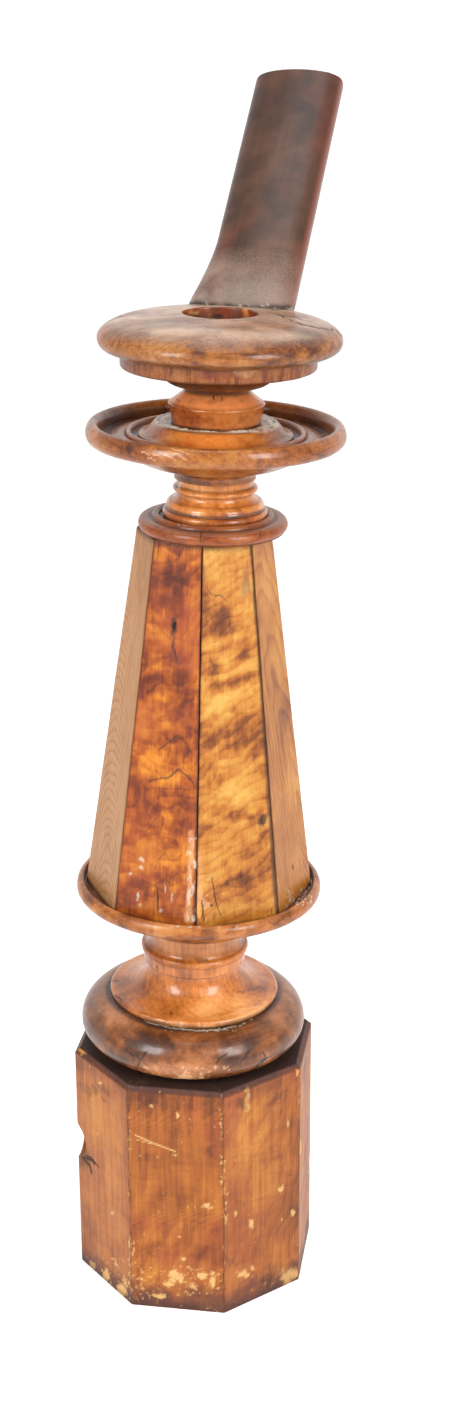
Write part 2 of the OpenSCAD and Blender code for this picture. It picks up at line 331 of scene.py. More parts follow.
def turned(name, profile, slip, slot, z0=0.0, step=1.0, soft=0.9, cols=(360, 120), wobble=0.25, grain="up", pith=(0.0, 0.0), seed=1, tilt=0.0, cover=0.0):
    """A lathe-turned piece. profile runs from the lower face to the upper."""
    P = ease(profile, step, soft, cover)
    th = thetas(*cols)
    n, m = len(th), len(P)
    R = P[:, 0][:, None] * np.ones(n)[None, :]
    Z = (P[:, 1] + z0)[:, None] * np.ones(n)[None, :]
    X = R * np.cos(th)[None, :]
    Y = R * np.sin(th)[None, :]
    L = np.stack([X.ravel(), Y.ravel(), Z.ravel()], 1)
    idx = np.arange(n * m).reshape(m, n)
    a = idx[:-1, :]
    b = np.roll(idx, -1, 1)[:-1, :]
    c = np.roll(idx, -1, 1)[1:, :]
    d = idx[1:, :]
    quads = np.stack([a.ravel(), b.ravel(), c.ravel(), d.ravel()], 1)
    bot, top = len(L), len(L) + 1
    L = np.concatenate([L, [[0, 0, P[0, 1] + z0], [0, 0, P[-1, 1] + z0]]])
    i = np.arange(n)
    j = np.roll(i, -1)
    t1 = np.stack([np.full(n, bot), j, i], 1)
    base = (m - 1) * n
    t2 = np.stack([np.full(n, top), base + i, base + j], 1)
    faces = [quads, np.concatenate([t1, t2])]
    if wobble:
        w = fbm(L * np.array([0.012, 0.012, 0.03]), seed + 90, 3) * wobble
        r = np.hypot(L[:, 0], L[:, 1])
        k = np.where(r > 1, w / np.maximum(r, 1), 0)
        L[:, 0] *= 1 + k
        L[:, 1] *= 1 + k
    g = L.copy()
    g[:, 2] -= z0
    ct, st = math.cos(math.radians(tilt)), math.sin(math.radians(tilt))
    if grain == "up":
        G = np.stack([g[:, 0] - pith[0], g[:, 1] - pith[1], g[:, 2]], 1)
    else:
        # the plank lies flat: the grain runs level, in a given direction
        a = math.radians(grain)
        along = g[:, 0] * math.cos(a) + g[:, 1] * math.sin(a)
        across = -g[:, 0] * math.sin(a) + g[:, 1] * math.cos(a)
        G = np.stack([across - pith[0], g[:, 2] - pith[1], along], 1)
    G = np.stack([G[:, 0], G[:, 1] * ct + G[:, 2] * st, -G[:, 1] * st + G[:, 2] * ct], 1)
    p = Piece(name, stack(L, slip), faces, G * 0.001, slot)
    p.L = L
    p.R = np.hypot(L[:, 0], L[:, 1])
    p.TH = np.arctan2(L[:, 1], L[:, 0])
    p.seed = seed
    return p


def loft(name, rings, slot, grain):
    """A closed tube through rings of points, with flat ends."""
    m, n = len(rings), len(rings[0])
    V = np.concatenate(rings)
    idx = np.arange(n * m).reshape(m, n)
    a = idx[:-1, :]
    b = np.roll(idx, -1, 1)[:-1, :]
    c = np.roll(idx, -1, 1)[1:, :]
    d = idx[1:, :]
    quads = np.stack([a.ravel(), b.ravel(), c.ravel(), d.ravel()], 1)
    c0, c1 = len(V), len(V) + 1
    V = np.concatenate([V, [rings[0].mean(0), rings[-1].mean(0)]])
    grain = np.concatenate([grain, [grain[:n].mean(0), grain[-n:].mean(0)]])
    i = np.arange(n)
    j = np.roll(i, -1)
    base = (m - 1) * n
    tris = np.concatenate([np.stack([np.full(n, c0), j, i], 1), np.stack([np.full(n, c1), base + i, base + j], 1)])
    return Piece(name, V, [quads, tris], grain, slot)


# ---------------------------------------------------------------------------
# Materials
# ---------------------------------------------------------------------------
def lin(c):
    return tuple((v / 255 / 12.92) if v / 255 <= 0.04045 else ((v / 255 + 0.055) / 1.055) ** 2.4 for v in c)


class Nodes:
    def __init__(self, mat):
        self.t = mat.node_tree
        self.n, self.l = self.t.nodes, self.t.links

    def new(self, kind, **kw):
        node = self.n.new(kind)
        for k, v in kw.items():
            setattr(node, k, v)
        return node

    def math(self, op, a, b=None, clamp=False):
        m = self.new("ShaderNodeMath", operation=op, use_clamp=clamp)
        for i, v in enumerate((a, b)):
            if v is None:
                continue
            if isinstance(v, (int, float)):
                m.inputs[i].default_value = v
            else:
                self.l.new(v, m.inputs[i])
        return m.outputs[0]

    def noise(self, vec, scale, detail=2.0, rough=0.5, dist=0.0):
        m = self.new("ShaderNodeTexNoise")
        m.inputs["Scale"].default_value = scale
        m.inputs["Detail"].default_value = detail
        m.inputs["Roughness"].default_value = rough
        m.inputs["Distortion"].default_value = dist
        self.l.new(vec, m.inputs["Vector"])
        return m.outputs["Fac"]

    def scaled(self, vec, s, off=(0, 0, 0)):
        m = self.new("ShaderNodeMapping")
        m.inputs["Scale"].default_value = s
        m.inputs["Location"].default_value = off
        self.l.new(vec, m.inputs["Vector"])
        return m.outputs[0]

    def ramp(self, fac, stops, interp="LINEAR"):
        r = self.new("ShaderNodeValToRGB")
        r.color_ramp.interpolation = interp
        el = r.color_ramp.elements
        while len(el) > 1:
            el.remove(el[-1])
        for i, (p, c) in enumerate(stops):
            e = el[0] if i == 0 else el.new(p)
            e.position = p
            e.color = (*c, 1) if len(c) == 3 else c
        self.l.new(fac, r.inputs[0])
        return r.outputs[0]

    def mix(self, fac, a, b, blend="MIX"):
        m = self.new("ShaderNodeMix", data_type="RGBA", blend_type=blend)
        for sock, v in ((m.inputs[0], fac), (m.inputs[6], a), (m.inputs[7], b)):
            if isinstance(v, (int, float)):
                sock.default_value = v
            elif isinstance(v, tuple):
                sock.default_value = (*v, 1)
            else:
                self.l.new(v, sock)
        return m.outputs[2]


RINGS = {}
GAIN = {"plinth_wood": (0.665, 0.551, 0.133), "cushion_wood": (0.751, 0.619, 0.334), "lower_neck_wood": (0.847, 0.815, 0.642), "lower_dish_wood": (0.648, 0.497, 0.209), "stave_pale_wood": (0.591, 0.488, 0.309), "stave_red_wood": (0.69, 0.55, 0.09), "stave_gold_wood": (0.575, 0.495, 0.212), "stave_tan_wood": (0.647, 0.48, 0.158), "head_disc_wood": (0.601, 0.387, 0.077), "upper_neck_wood": (1.02, 1.05, 0.85), "upper_dish_wood": (0.586, 0.42, 0.142), "collar_wood": (0.746, 0.615, 0.32), "ring_wood": (0.479, 0.313, 0.0854), "cap_wood": (0.605, 0.431, 0.215), "rail_mahogany": (0.424, 0.316, 0.19)}


def wood(name, dark, mid, light, rings=120.0, warp=0.012, ring_amt=0.35, fibre=0.30, mottle=0.15, blotch=0.35, along=1.0,
         rough=(0.34, 0.5), coat=0.25, bump=0.25, off=0.0, fresh_and_painted_light=(226, 150, 72), wear_and_sheen=(214, 160, 112), stain_and_sheen=(96, 78, 66),
         pore=0.35, contrast=1.0, coat_rough=0.24, darkc=(44, 26, 18), gluec=(205, 194, 176), redc=(150, 66, 34)):
    RINGS[name.replace("_wood", "").replace("_mahogany", "")] = rings
    mat = bpy.data.materials.new(name)
    mat.use_nodes = True
    N = Nodes(mat)
    bsdf = N.n["Principled BSDF"]
    at = N.new("ShaderNodeAttribute", attribute_name="gc").outputs["Vector"]
    masks = []
    for a in ("m1", "m2", "m3"):
        s = N.new("ShaderNodeSeparateXYZ")
        N.l.new(N.new("ShaderNodeAttribute", attribute_name=a).outputs["Vector"], s.inputs[0])
        masks.append(s.outputs)
    m_dark, m_wear_and_sheen, m_glue = masks[0]
    m_crack, m_fresh_and_painted_light, m_stain_and_sheen = masks[1]
    m_tone, m_red, _ = masks[2]

    base = N.scaled(at, (1, 1, 1), (off, off * 0.7, off * 1.3))
    # growth rings round the pith, bent by slow noise
    slow = N.noise(N.scaled(base, (1, 1, 0.22 * along)), 16.0, 3.0, 0.5)
    slow2 = N.noise(N.scaled(base, (1, 1, 0.5 * along), (3.1, 1.7, 0.4)), 60.0, 2.0, 0.5)
    rr = N.new("ShaderNodeAttribute", attribute_name="fld").outputs["Fac"]
    rr = N.math("ADD", rr, N.math("MULTIPLY", N.math("SUBTRACT", slow, 0.5), warp * 2 * rings))
    rr = N.math("ADD", rr, N.math("MULTIPLY", N.math("SUBTRACT", slow2, 0.5), warp * 0.5 * rings))
    fr = N.math("FRACT", N.math("ADD", rr, 100.0))
    band = N.ramp(fr, [(0.0, (0.25,) * 3), (0.12, (0.72,) * 3), (0.5, (0.62,) * 3), (0.82, (0.35,) * 3), (0.93, (0.05,) * 3), (1.0, (0.25,) * 3)], "EASE")
    # fibres: very long, very thin
    fib = N.noise(N.scaled(base, (1, 1, 0.03)), 700.0, 4.0, 0.6)
    fib2 = N.noise(N.scaled(base, (1, 1, 0.05)), 230.0, 3.0, 0.55)
    curl = N.noise(N.scaled(base, (0.45, 0.45, 1.0)), 95.0, 3.0, 0.55, 0.6)
    big = N.noise(base, 11.0, 4.0, 0.55)
    val = N.math("MULTIPLY", N.math("SUBTRACT", band, 0.45), ring_amt)
    val = N.math("ADD", val, N.math("MULTIPLY", N.math("SUBTRACT", fib, 0.5), fibre * 1.6))
    val = N.math("ADD", val, N.math("MULTIPLY", N.math("SUBTRACT", fib2, 0.5), fibre * 1.4))
    val = N.math("ADD", val, N.math("MULTIPLY", N.math("SUBTRACT", curl, 0.5), mottle * 2.2))
    val = N.math("ADD", val, N.math("MULTIPLY", N.math("SUBTRACT", big, 0.5), blotch * 2.0))
    val = N.math("MULTIPLY", val, contrast * 1.25)
    val = N.math("ADD", val, N.math("MULTIPLY", m_tone, 0.30))
    val = N.math("ADD", val, 0.5, clamp=True)
    g = np.array(GAIN.get(name, (1, 1, 1)), float)
    D, M_, L_ = (np.array(lin(c)) * g for c in (dark, mid, light))
    darker = D * np.array([0.50, 0.42, 0.34])
    L_ = L_ * np.array([0.98, 1.02, 1.22])
    lighter = np.minimum(L_ * np.array([1.18, 1.26, 1.5]), 0.95)
    col = N.ramp(val, [(0.0, tuple(darker)), (0.24, tuple(D)), (0.5, tuple(M_)), (0.78, tuple(L_)), (1.0, tuple(lighter))])
    # open pores, short dark dashes along the grain
    po = N.noise(N.scaled(base, (1, 1, 0.07)), 1100.0, 2.0, 0.5)
    po = N.math("MULTIPLY", N.ramp(po, [(0.60, (0,) * 3), (0.72, (1,) * 3)]), pore)
    col = N.mix(po, col, tuple(np.array(lin(dark)) * 0.45))
    col = N.mix(N.math("MULTIPLY", m_red, 1.0, clamp=True), col, lin(redc), "MIX")
    # painted marks, with painted shade, painted light and painted sheen
    fine = N.noise(base, 420.0, 3.0, 0.6)

    def edge(m, k=0.5):
        e = N.math("ADD", m, N.math("MULTIPLY", N.math("SUBTRACT", fine, 0.5), k))
        e = N.math("MULTIPLY", e, N.math("GREATER_THAN", m, 0.02))
        return N.math("MULTIPLY", e, 1.0, clamp=True)

    col = N.mix(edge(m_stain_and_sheen, 0.35), col, lin(stain_and_sheen))
    col = N.mix(edge(m_wear_and_sheen), col, lin(wear_and_sheen))
    col = N.mix(edge(m_fresh_and_painted_light), col, lin(fresh_and_painted_light))
    col = N.mix(edge(m_dark, 0.35), col, lin(darkc))
    col = N.mix(edge(m_glue), col, lin(gluec))
    col = N.mix(N.math("MULTIPLY", m_crack, 1.0, clamp=True), col, lin((26, 15, 10)))
    N.l.new(col, bsdf.inputs["Base Color"])
    rg = N.math("ADD", N.math("MULTIPLY", N.noise(base, 60.0, 3.0), (rough[1] - rough[0]) * 2), rough[0] - (rough[1] - rough[0]) * 0.5)
    for m, k in ((m_wear_and_sheen, 0.25), (m_glue, 0.35), (m_dark, 0.15), (m_crack, 0.3), (m_stain_and_sheen, 0.12)):
        rg = N.math("ADD", rg, N.math("MULTIPLY", m, k))
    rg = N.math("MINIMUM", rg, 0.95)
    N.l.new(rg, bsdf.inputs["Roughness"])
    bsdf.inputs["Coat Weight"].default_value = coat
    bsdf.inputs["Coat Roughness"].default_value = coat_rough
    bsdf.inputs["IOR"].default_value = 1.5
    bsdf.inputs["Specular IOR Level"].default_value = 0.32
    h = N.math("ADD", N.math("MULTIPLY", fib, 0.5), N.math("MULTIPLY", po, -0.8))
    h = N.math("ADD", h, N.math("MULTIPLY", N.noise(base, 130.0, 3.0), 0.8))
    h = N.math("ADD", h, N.math("MULTIPLY", m_glue, N.math("MULTIPLY", fine, 2.5)))
    h = N.math("ADD", h, N.math("MULTIPLY", m_dark, N.math("MULTIPLY", fine, 0.8)))
    bp = N.new("ShaderNodeBump")
    bp.inputs["Strength"].default_value = bump
    bp.inputs["Distance"].default_value = 0.0006
    N.l.new(h, bp.inputs["Height"])
    N.l.new(bp.outputs[0], bsdf.inputs["Normal"])
    return mat


MAT = {
    "plinth": wood("plinth_wood", (150, 84, 46), (190, 114, 66), (216, 142, 88), rings=90, ring_amt=0.16, fibre=0.26, mottle=0.12, blotch=0.50, coat=0.10, rough=(0.42, 0.58), wear_and_sheen=(214, 168, 104), pore=0.3, stain_and_sheen=(74, 46, 40)),
    "cushion": wood("cushion_wood", (92, 54, 36), (146, 92, 62), (196, 134, 98), rings=110, ring_amt=0.10, fibre=0.2, mottle=0.16, blotch=0.65, coat=0.45, rough=(0.32, 0.46), stain_and_sheen=(92, 76, 66), wear_and_sheen=(212, 160, 112), coat_rough=0.17),
    "lower_neck": wood("lower_neck_wood", (150, 80, 32), (216, 132, 66), (248, 176, 108), rings=150, ring_amt=0.07, fibre=0.16, mottle=0.14, blotch=0.55, coat=0.6, rough=(0.3, 0.42), coat_rough=0.17),
    "lower_dish": wood("lower_dish_wood", (110, 62, 34), (186, 116, 68), (224, 158, 108), rings=120, ring_amt=0.12, fibre=0.26, mottle=0.18, blotch=0.55, coat=0.4, rough=(0.32, 0.46), coat_rough=0.2),
    "stave_pale": wood("stave_pale_wood", (172, 122, 84), (207, 158, 118), (228, 182, 144), rings=210, ring_amt=0.34, fibre=0.24, mottle=0.04, blotch=0.2, coat=0.08, rough=(0.42, 0.55), pore=0.2, warp=0.006),
    "stave_red": wood("stave_red_wood", (128, 56, 20), (184, 100, 46), (232, 152, 84), rings=80, ring_amt=0.20, fibre=0.22, mottle=0.22, blotch=0.30, coat=0.16, rough=(0.36, 0.5), pore=0.3, warp=0.008),
    "stave_gold": wood("stave_gold_wood", (160, 90, 40), (224, 146, 74), (250, 190, 112), rings=70, ring_amt=0.18, fibre=0.16, mottle=0.20, blotch=0.26, coat=0.16, rough=(0.36, 0.5), pore=0.2, warp=0.008),
    "stave_tan": wood("stave_tan_wood", (160, 102, 60), (204, 144, 92), (230, 178, 128), rings=150, ring_amt=0.30, fibre=0.22, mottle=0.06, blotch=0.22, coat=0.12, rough=(0.4, 0.52), pore=0.15, warp=0.006),
    "head_disc": wood("head_disc_wood", (120, 62, 26), (170, 98, 50), (208, 146, 100), rings=130, ring_amt=0.14, fibre=0.26, mottle=0.1, blotch=0.4, coat=0.35, rough=(0.34, 0.48), stain_and_sheen=(150, 120, 104)),
    "upper_neck": wood("upper_neck_wood", (146, 74, 28), (206, 124, 62), (246, 176, 110), rings=150, ring_amt=0.07, fibre=0.16, mottle=0.12, blotch=0.45, coat=0.6, rough=(0.28, 0.4), coat_rough=0.15),
    "upper_dish": wood("upper_dish_wood", (112, 60, 26), (180, 114, 62), (216, 156, 102), rings=130, ring_amt=0.12, fibre=0.28, mottle=0.2, blotch=0.5, coat=0.5, rough=(0.32, 0.46), coat_rough=0.18, fresh_and_painted_light=(252, 130, 52)),
    # collar: its fresh colour also paints light onto the shaded cone
    "collar": wood("collar_wood", (132, 66, 32), (190, 106, 56), (224, 148, 94), rings=160, ring_amt=0.06, fibre=0.22, mottle=0.12, blotch=0.45, coat=0.45, rough=(0.3, 0.44), coat_rough=0.18, fresh_and_painted_light=(255, 150, 88)),
    "ring": wood("ring_wood", (126, 68, 36), (178, 112, 66), (212, 158, 112), rings=170, ring_amt=0.06, fibre=0.26, mottle=0.08, blotch=0.4, coat=0.35, rough=(0.34, 0.48), redc=(140, 66, 44)),
    # cap: its pale grey stain colour paints the sheen on the top
    "cap": wood("cap_wood", (124, 74, 38), (188, 132, 78), (214, 172, 128), rings=130, ring_amt=0.12, fibre=0.32, mottle=0.14, blotch=0.45, coat=0.34, rough=(0.32, 0.48), stain_and_sheen=(198, 166, 140), coat_rough=0.18),
    # rail: its pale grey stain colour paints the sheen at the foot, and its wear colour the highlight along the left
    # edge
    "rail": wood("rail_mahogany", (60, 38, 30), (96, 66, 54), (134, 96, 78), rings=140, ring_amt=0.04, fibre=0.10, mottle=0.08, blotch=0.45, coat=0.30, rough=(0.38, 0.52), pore=0.10, wear_and_sheen=(150, 126, 114), stain_and_sheen=(188, 166, 152), redc=(124, 60, 40), coat_rough=0.26),
}

pieces = []

# ---------------------------------------------------------------------------
# Plinth boards
# ---------------------------------------------------------------------------
AP, HALF, T = 127.0, 127.0 * math.tan(math.radians(22.5)), 30.0


def board(i):
    az = math.radians(-90 + 45 * (i - 1))
    front = i in (1, 2, 8)
    step = 1.5 if front else (2.2 if i == 3 else 5.0)
    nu = int(2 * HALF / step)
    zs = np.linspace(0, PLINTH_H - 5.5, int((PLINTH_H - 5.5) / step))
    zs = np.concatenate([[0.0, 0.5], zs[1:-1], [PLINTH_H - 5.9, PLINTH_H - 5.5, PLINTH_H - 5.1]])
    # u across the outer face; the outline runs outer face, right mitre, inner face, left mitre
    e = 0.7
    tan = math.tan(math.radians(22.5))
    rings, grain = [], []

    def outline(x_out):
        u = np.linspace(-1, 1, nu)
        h = x_out * tan - 0.12
        top = [(x_out, -h + e)] if False else []
        pts = []
        for v in u:
            a = v * (h - e)
            pts.append((x_out, a))
        # eased corners at the joints
        pts = [(x_out - 0.55, -h + 0.05), (x_out - 0.18, -h + 0.25)] + pts + [(x_out - 0.18, h - 0.25), (x_out - 0.55, h - 0.05)]
        xi = AP - T
        hi = xi * tan - 0.12
        for t in (0.25, 0.5, 0.75):
            pts.append((x_out + (xi - x_out) * t, h + (hi - h) * t))
        for v in (1, 0.33, -0.33, -1):
            pts.append((xi, v * hi))
        for t in (0.75, 0.5, 0.25):
            pts.append((x_out + (xi - x_out) * t, -(h + (hi - h) * t)))
        return np.array(pts)

    prof = [(z, AP) for z in zs]
    # bevel round the top edge
    for t in np.linspace(0.15, 1, 5):
        prof.append((PLINTH_H - 5.5 + 5.5 * t, AP - 5.5 * t))
    # a little way in over the top end, then the flat of the end itself
    for x in (AP - 5.9, AP - 6.5):
        prof.append((PLINTH_H, x))
    for x in np.linspace(AP - 8, AP - T + 3, 12 if front else 5):
        prof.append((PLINTH_H, x))
    for k, (z, x) in enumerate(prof):
        o = outline(x)
        if k == 0:
            o = outline(x - 0.5)
        X, Y = o[:, 0], o[:, 1]
        c, s = math.cos(az), math.sin(az)
        ring = np.stack([c * X - s * Y, s * X + c * Y, np.full(len(X), z)], 1)
        rings.append(ring)
        grain.append(np.stack([Y + 37 * i, X - AP + 60 + 11 * i, np.full(len(X), z)], 1) * 0.001)
    p = loft("plinth_board_%d_look" % i, rings, "plinth_wood", np.concatenate(grain))
    p.u = np.concatenate([np.concatenate([outline(x)[:, 1] for _, x in prof]), [0, 0]])
    p.az = az
    return p


BITE = np.array([-41.0, 161.0])  # middle of the broken bore: y, z


def cut_bite(p, i):
    """Which of a board's vertices lie inside the broken bore, which runs through board 7 (the -X face) and board 8."""
    V = p.V
    r = 24.0
    d = np.hypot(V[:, 1] - BITE[0], V[:, 2] - BITE[1])
    return d < r


boards = {}
for i in range(1, 9):
    boards[i] = board(i)

# ---------------------------------------------------------------------------
# Turned pieces (profiles in stack coordinates, mm)
# ---------------------------------------------------------------------------
Z_CUSH, CUSH_H, MID = 278.5, 57.0, 25.5
CR, CROLL = 124.8, 36.0
Z_NECK = Z_CUSH + CUSH_H
FR, LBR, LNR = 93.4, 59.3, 51.5
Z_DISH = Z_NECK + 83.5
LDR, SEAT_R, SEAT_D = 133.7, 125.2, 8.5
Z_SEAT = Z_DISH + 48
Z_HEAD, Z_UPPER, Z_UPDISH, Z_COLLAR, Z_RING, Z_CAP, CAP_H = 867.6, 881.0, 922.0, 979.0, 1012.5, 1052.5, 36.8
HDR, UNR, UDR, COLR, RR, CAPR, HOLE_R, HOLE_D = 77.2, 39.4, 132.5, 49.3, 99.2, 123.2, 37.5, 16.0

cushion = turned(
    "base_cushion_look",
    [(30, 0.0), (CR - CROLL + 9, 0.0), (CR - CROLL + 14, 1.0)] + arc(CR - CROLL, MID, CROLL, MID - 0.4, -66, 0, 30) + arc(CR - CROLL, MID, CROLL, CUSH_H - MID, 2, 90, 40)
    + [(60, CUSH_H)],
    -2.0, "cushion_wood", Z_CUSH, step=1.35, cols=(400, 130), grain=35.0, pith=(12, -150), seed=11, cover=86)
# its underside stands level on the plinth although the stack leans
low = cushion.L[:, 2] < Z_CUSH + 6
cushion.V[:, 2] = np.maximum(cushion.V[:, 2], PLINTH_H + 0.02 + 0 * cushion.V[:, 2])

lower_neck = turned(
    "lower_neck_look",
    [(30, 0), (FR - 2, 0)] + arc(FR - 3.5, 4, 3.5, 3.8, -50, 90, 10) + arc(FR - 3.5, 40.5, FR - 3.5 - LNR, 32.7, 270, 180, 50)
    + [(LNR + 4.4, 41.4), (LNR + 4.4, 53.4), (LBR - 0.6, 54)] + arc(LBR - 3, 57.5, 3, 3.5, -50, 90, 12)
    + arc(LBR - 3, 71, LBR - 3 - LNR, 10, 270, 180, 16) + [(LNR, 83.5), (20, 83.5)],
    -1.5, "turned_wood", Z_NECK, step=1.2, soft=0.7, cols=(330, 100), grain="up", pith=(46, -30), seed=21, cover=50)

lower_dish = turned(
    "lower_dish_look",
    [(30, 0), (LNR + 3, 0)] + ogee((LNR + 5, 3), (LDR - 16, 38.5), 30) + arc(LDR - 10, 47, 10, 8, -75, 0, 16)
    + arc(LDR - 6.5, 47, 6.5, 9.5, 4, 90, 16) + arc(SEAT_R + 2.0, 54.4, 1.9, 2.1, 90, 170, 6) + [(SEAT_R, 48.4), (SEAT_R - 6, 48), (60, 48)],
    2.0, "dish_wood", Z_DISH, step=1.3, cols=(400, 130), grain=-20.0, pith=(10, -120), seed=31, cover=110)

head_h = Z_UPPER - Z_HEAD
head_disc = turned(
    "head_disc_look",
    [(30, 0), (HDR - 3, 0)] + arc(HDR - 6, head_h / 2, 6, head_h / 2, -75, 90, 20) + [(HDR - 12, head_h), (63.4, head_h)] + arc(59.0, head_h, 4.2, 4.2, 8, 170, 12) + [(54.8, head_h + 0.4), (30, head_h)],
    11.0, "dish_wood", Z_HEAD, step=1.1, cols=(300, 90), grain=15.0, pith=(40, -70), seed=41, cover=49)

upper_neck = turned(
    "upper_neck_look",
    [(20, 0), (51.5, 0)] + arc(50.2, 5.2, 4.1, 4.2, -75, 90, 16) + [(50.9, 9.4), (50.9, 12)] + arc(UNR + 4, 13, 7, 6.5, 0, 70, 12)
    + arc(UNR + 6.4, 26, 6.4, 6.9, 270, 180, 12) + [(UNR, 27), (UNR + 1.4, 27.6)] + arc(UNR + 1, 30.6, 3.3, 3, -80, 80, 14)
    + [(UNR + 0.2, 34.5), (UNR + 0.2, Z_UPDISH - Z_UPPER), (20, Z_UPDISH - Z_UPPER)],
    13.0, "turned_wood", Z_UPPER, step=0.9, soft=0.5, cols=(270, 80), grain="up", pith=(40, 25), seed=51, cover=38)

b = Z_UPDISH
upper_dish = turned(
    "upper_dish_look",
    [(20, b), (UNR + 2.6, b), (UNR + 2.6, b + 3)] + arc(UNR + 16.6, b + 3, 14, 11.5, 180, 90, 14) + ogee((UNR + 21, b + 14.8), (UDR - 13, 957.5), 24)
    + arc(UDR - 7.2, 967.5, 7.2, 9, -80, 0, 14) + arc(UDR - 7.2, 967.5, 7.2, 11.5, 4, 172, 26)
    + [(117.8, 963.5), (108, 963), (107.4, 965.2), (101, 967), (94.2, 967.4)] + arc(89.4, 967.2, 3.6, 4, 0, 180, 12)
    + [(85, 964.5), (79.5, 964), (79, 967.5)] + ogee((76.5, 968.5), (60, 979.5), 14) + [(58, 979), (20, 979)],
    12.5, "dish_wood", 0.0, step=1.15, soft=0.6, cols=(400, 120), grain=60.0, pith=(25, 860), seed=61, cover=43)

collar = turned(
    "collar_look",
    [(20, 0), (45.4, 0), (46.2, 6), (47.2, 12), (48.4, 17), (COLR, 19.6), (COLR - 0.6, 20.8), (44.4, 23.8), (39.6, 27.4), (35.4, 30.8), (32.2, Z_RING - Z_COLLAR), (10, Z_RING - Z_COLLAR)],
    12.8, "turned_wood", Z_COLLAR, step=0.9, soft=0.7, cols=(260, 80), grain=100.0, pith=(70, -30), seed=71, cover=31)

cap_ring = turned(
    "cap_ring_look",
    [(10, 0), (32.2, 0), (32.2, 2.2), (34.6, 3.6)] + arc(34.6, 19, 23.6, 15.4, -90, 0, 16) + [(58.2, 23), (RR - 1.2, 23), (RR, 24.6), (RR + 0.4, Z_CAP - Z_RING), (70, Z_CAP - Z_RING)],
    14.0, "ring_wood", Z_RING, step=1.0, soft=0.7, cols=(360, 100), grain=-70.0, pith=(30, -90), seed=81, cover=96)

cap = turned(
    "cap_look",
    [(60, 0), (CAPR - 14, 0)] + arc(CAPR - 13, 11, 13, 11.5, -80, 0, 18) + arc(CAPR - 50, 11, 50, 21.6, 4, 74, 40)
    + [(58, 34.3), (48, 35.8), (40.5, 36.6), (38.4, 36.5), (37.5, 35.4), (37.4, 21.4), (36.6, 20.6), (2, 20.6)],
    15.0, "cap_wood", Z_CAP, step=1.2, soft=0.8, cols=(420, 130), grain=8.0, pith=(20, -160), seed=91)

# ---------------------------------------------------------------------------
# Staves
# ---------------------------------------------------------------------------
FOOT_R, HEAD_R, ST, GAP, TURN, SL0, SL1 = 124.0, 70.2, 22.0, 1.2, 8.0, 2.0, 2.0
STAVE = {1: ("stave_pale", (-60, -34), 4.0), 2: ("stave_red", (30, -60), -3.0), 3: ("stave_gold", (20, -70), 5.0), 4: ("stave_tan", (18, -26), -5.0),
         5: ("stave_gold", (-40, -50), 2.0), 6: ("stave_red", (-20, -60), -4.0), 7: ("stave_tan", (30, -40), 4.0), 8: ("stave_red", (40, -55), 3.0)}


def stave(i):
    az = math.radians(TURN - 22.5 + 45 * (i - 4)) - LEAN_DIR
    slot, pith, tilt = STAVE[i]
    front = i <= 4
    step = 1.35 if front else 5.0
    nu = int(96 / step) if front else 18
    nz = int(402 / (1.5 if front else 6.0))
    tan = math.tan(math.radians(22.5))
    rings, grain, us, vs = [], [], [], []
    for k in range(nz + 1):
        t = k / nz
        ap = (FOOT_R + (HEAD_R - FOOT_R) * t) * math.cos(math.radians(22.5))
        h = ap * tan - GAP / 2 / math.cos(math.radians(22.5))
        api = ap - ST
        hi = api * tan - GAP / 2 / math.cos(math.radians(22.5))
        u = np.linspace(-1, 1, nu)
        pts = [(ap - 1.0, -h + 0.0), (ap - 0.35, -h + 0.3)] + [(ap, v * (h - 0.95)) for v in u] + [(ap - 0.35, h - 0.3), (ap - 1.0, h)]
        for s in (0.3, 0.7):
            pts.append((ap + (api - ap) * s, h + (hi - h) * s))
        pts += [(api, hi), (api, 0), (api, -hi)]
        for s in (0.7, 0.3):
            pts.append((ap + (api - ap) * s, -(h + (hi - h) * s)))
        pts = np.array(pts)
        X, Y = pts[:, 0], pts[:, 1]
        c, s = math.cos(az), math.sin(az)
        z = Z_SEAT + (Z_HEAD - Z_SEAT) * t
        rings.append(np.stack([c * X - s * Y, s * X + c * Y, np.full(len(X), z)], 1))
        a = math.radians(tilt)
        depth = X - ap
        zz = z - 640
        yy = Y * math.cos(a) - zz * math.sin(a) * 0.25
        gx = yy - pith[0]
        gy = depth - pith[1] + (zz * math.tan(a))
        grain.append(np.stack([gx, gy, np.full(len(X), z) + 40 * i], 1) * 0.001)
        us.append(Y / h)
        vs.append(np.full(len(X), t))
    for r in range(len(rings)):
        rings[r] = stack(rings[r], SL0 + (SL1 - SL0) * r / nz)
    p = loft("shaft_stave_%d_look" % i, rings, slot, np.concatenate(grain))
    p.u = np.concatenate(us + [[0, 0]])
    p.v = np.concatenate(vs + [[0, 1]])
    p.nz = nz
    return p


staves = {i: stave(i) for i in range(1, 9)}

# ---------------------------------------------------------------------------
# Handrail
# ---------------------------------------------------------------------------
RW, CROWN, BELLY, SLOPE, RL, FLARE = 97.0, 19.0, 30.0, math.radians(44), 297.0, 10.0
RH = math.radians(83.2)
RFOOT = np.array([49.5, 92.5, 1088.0])


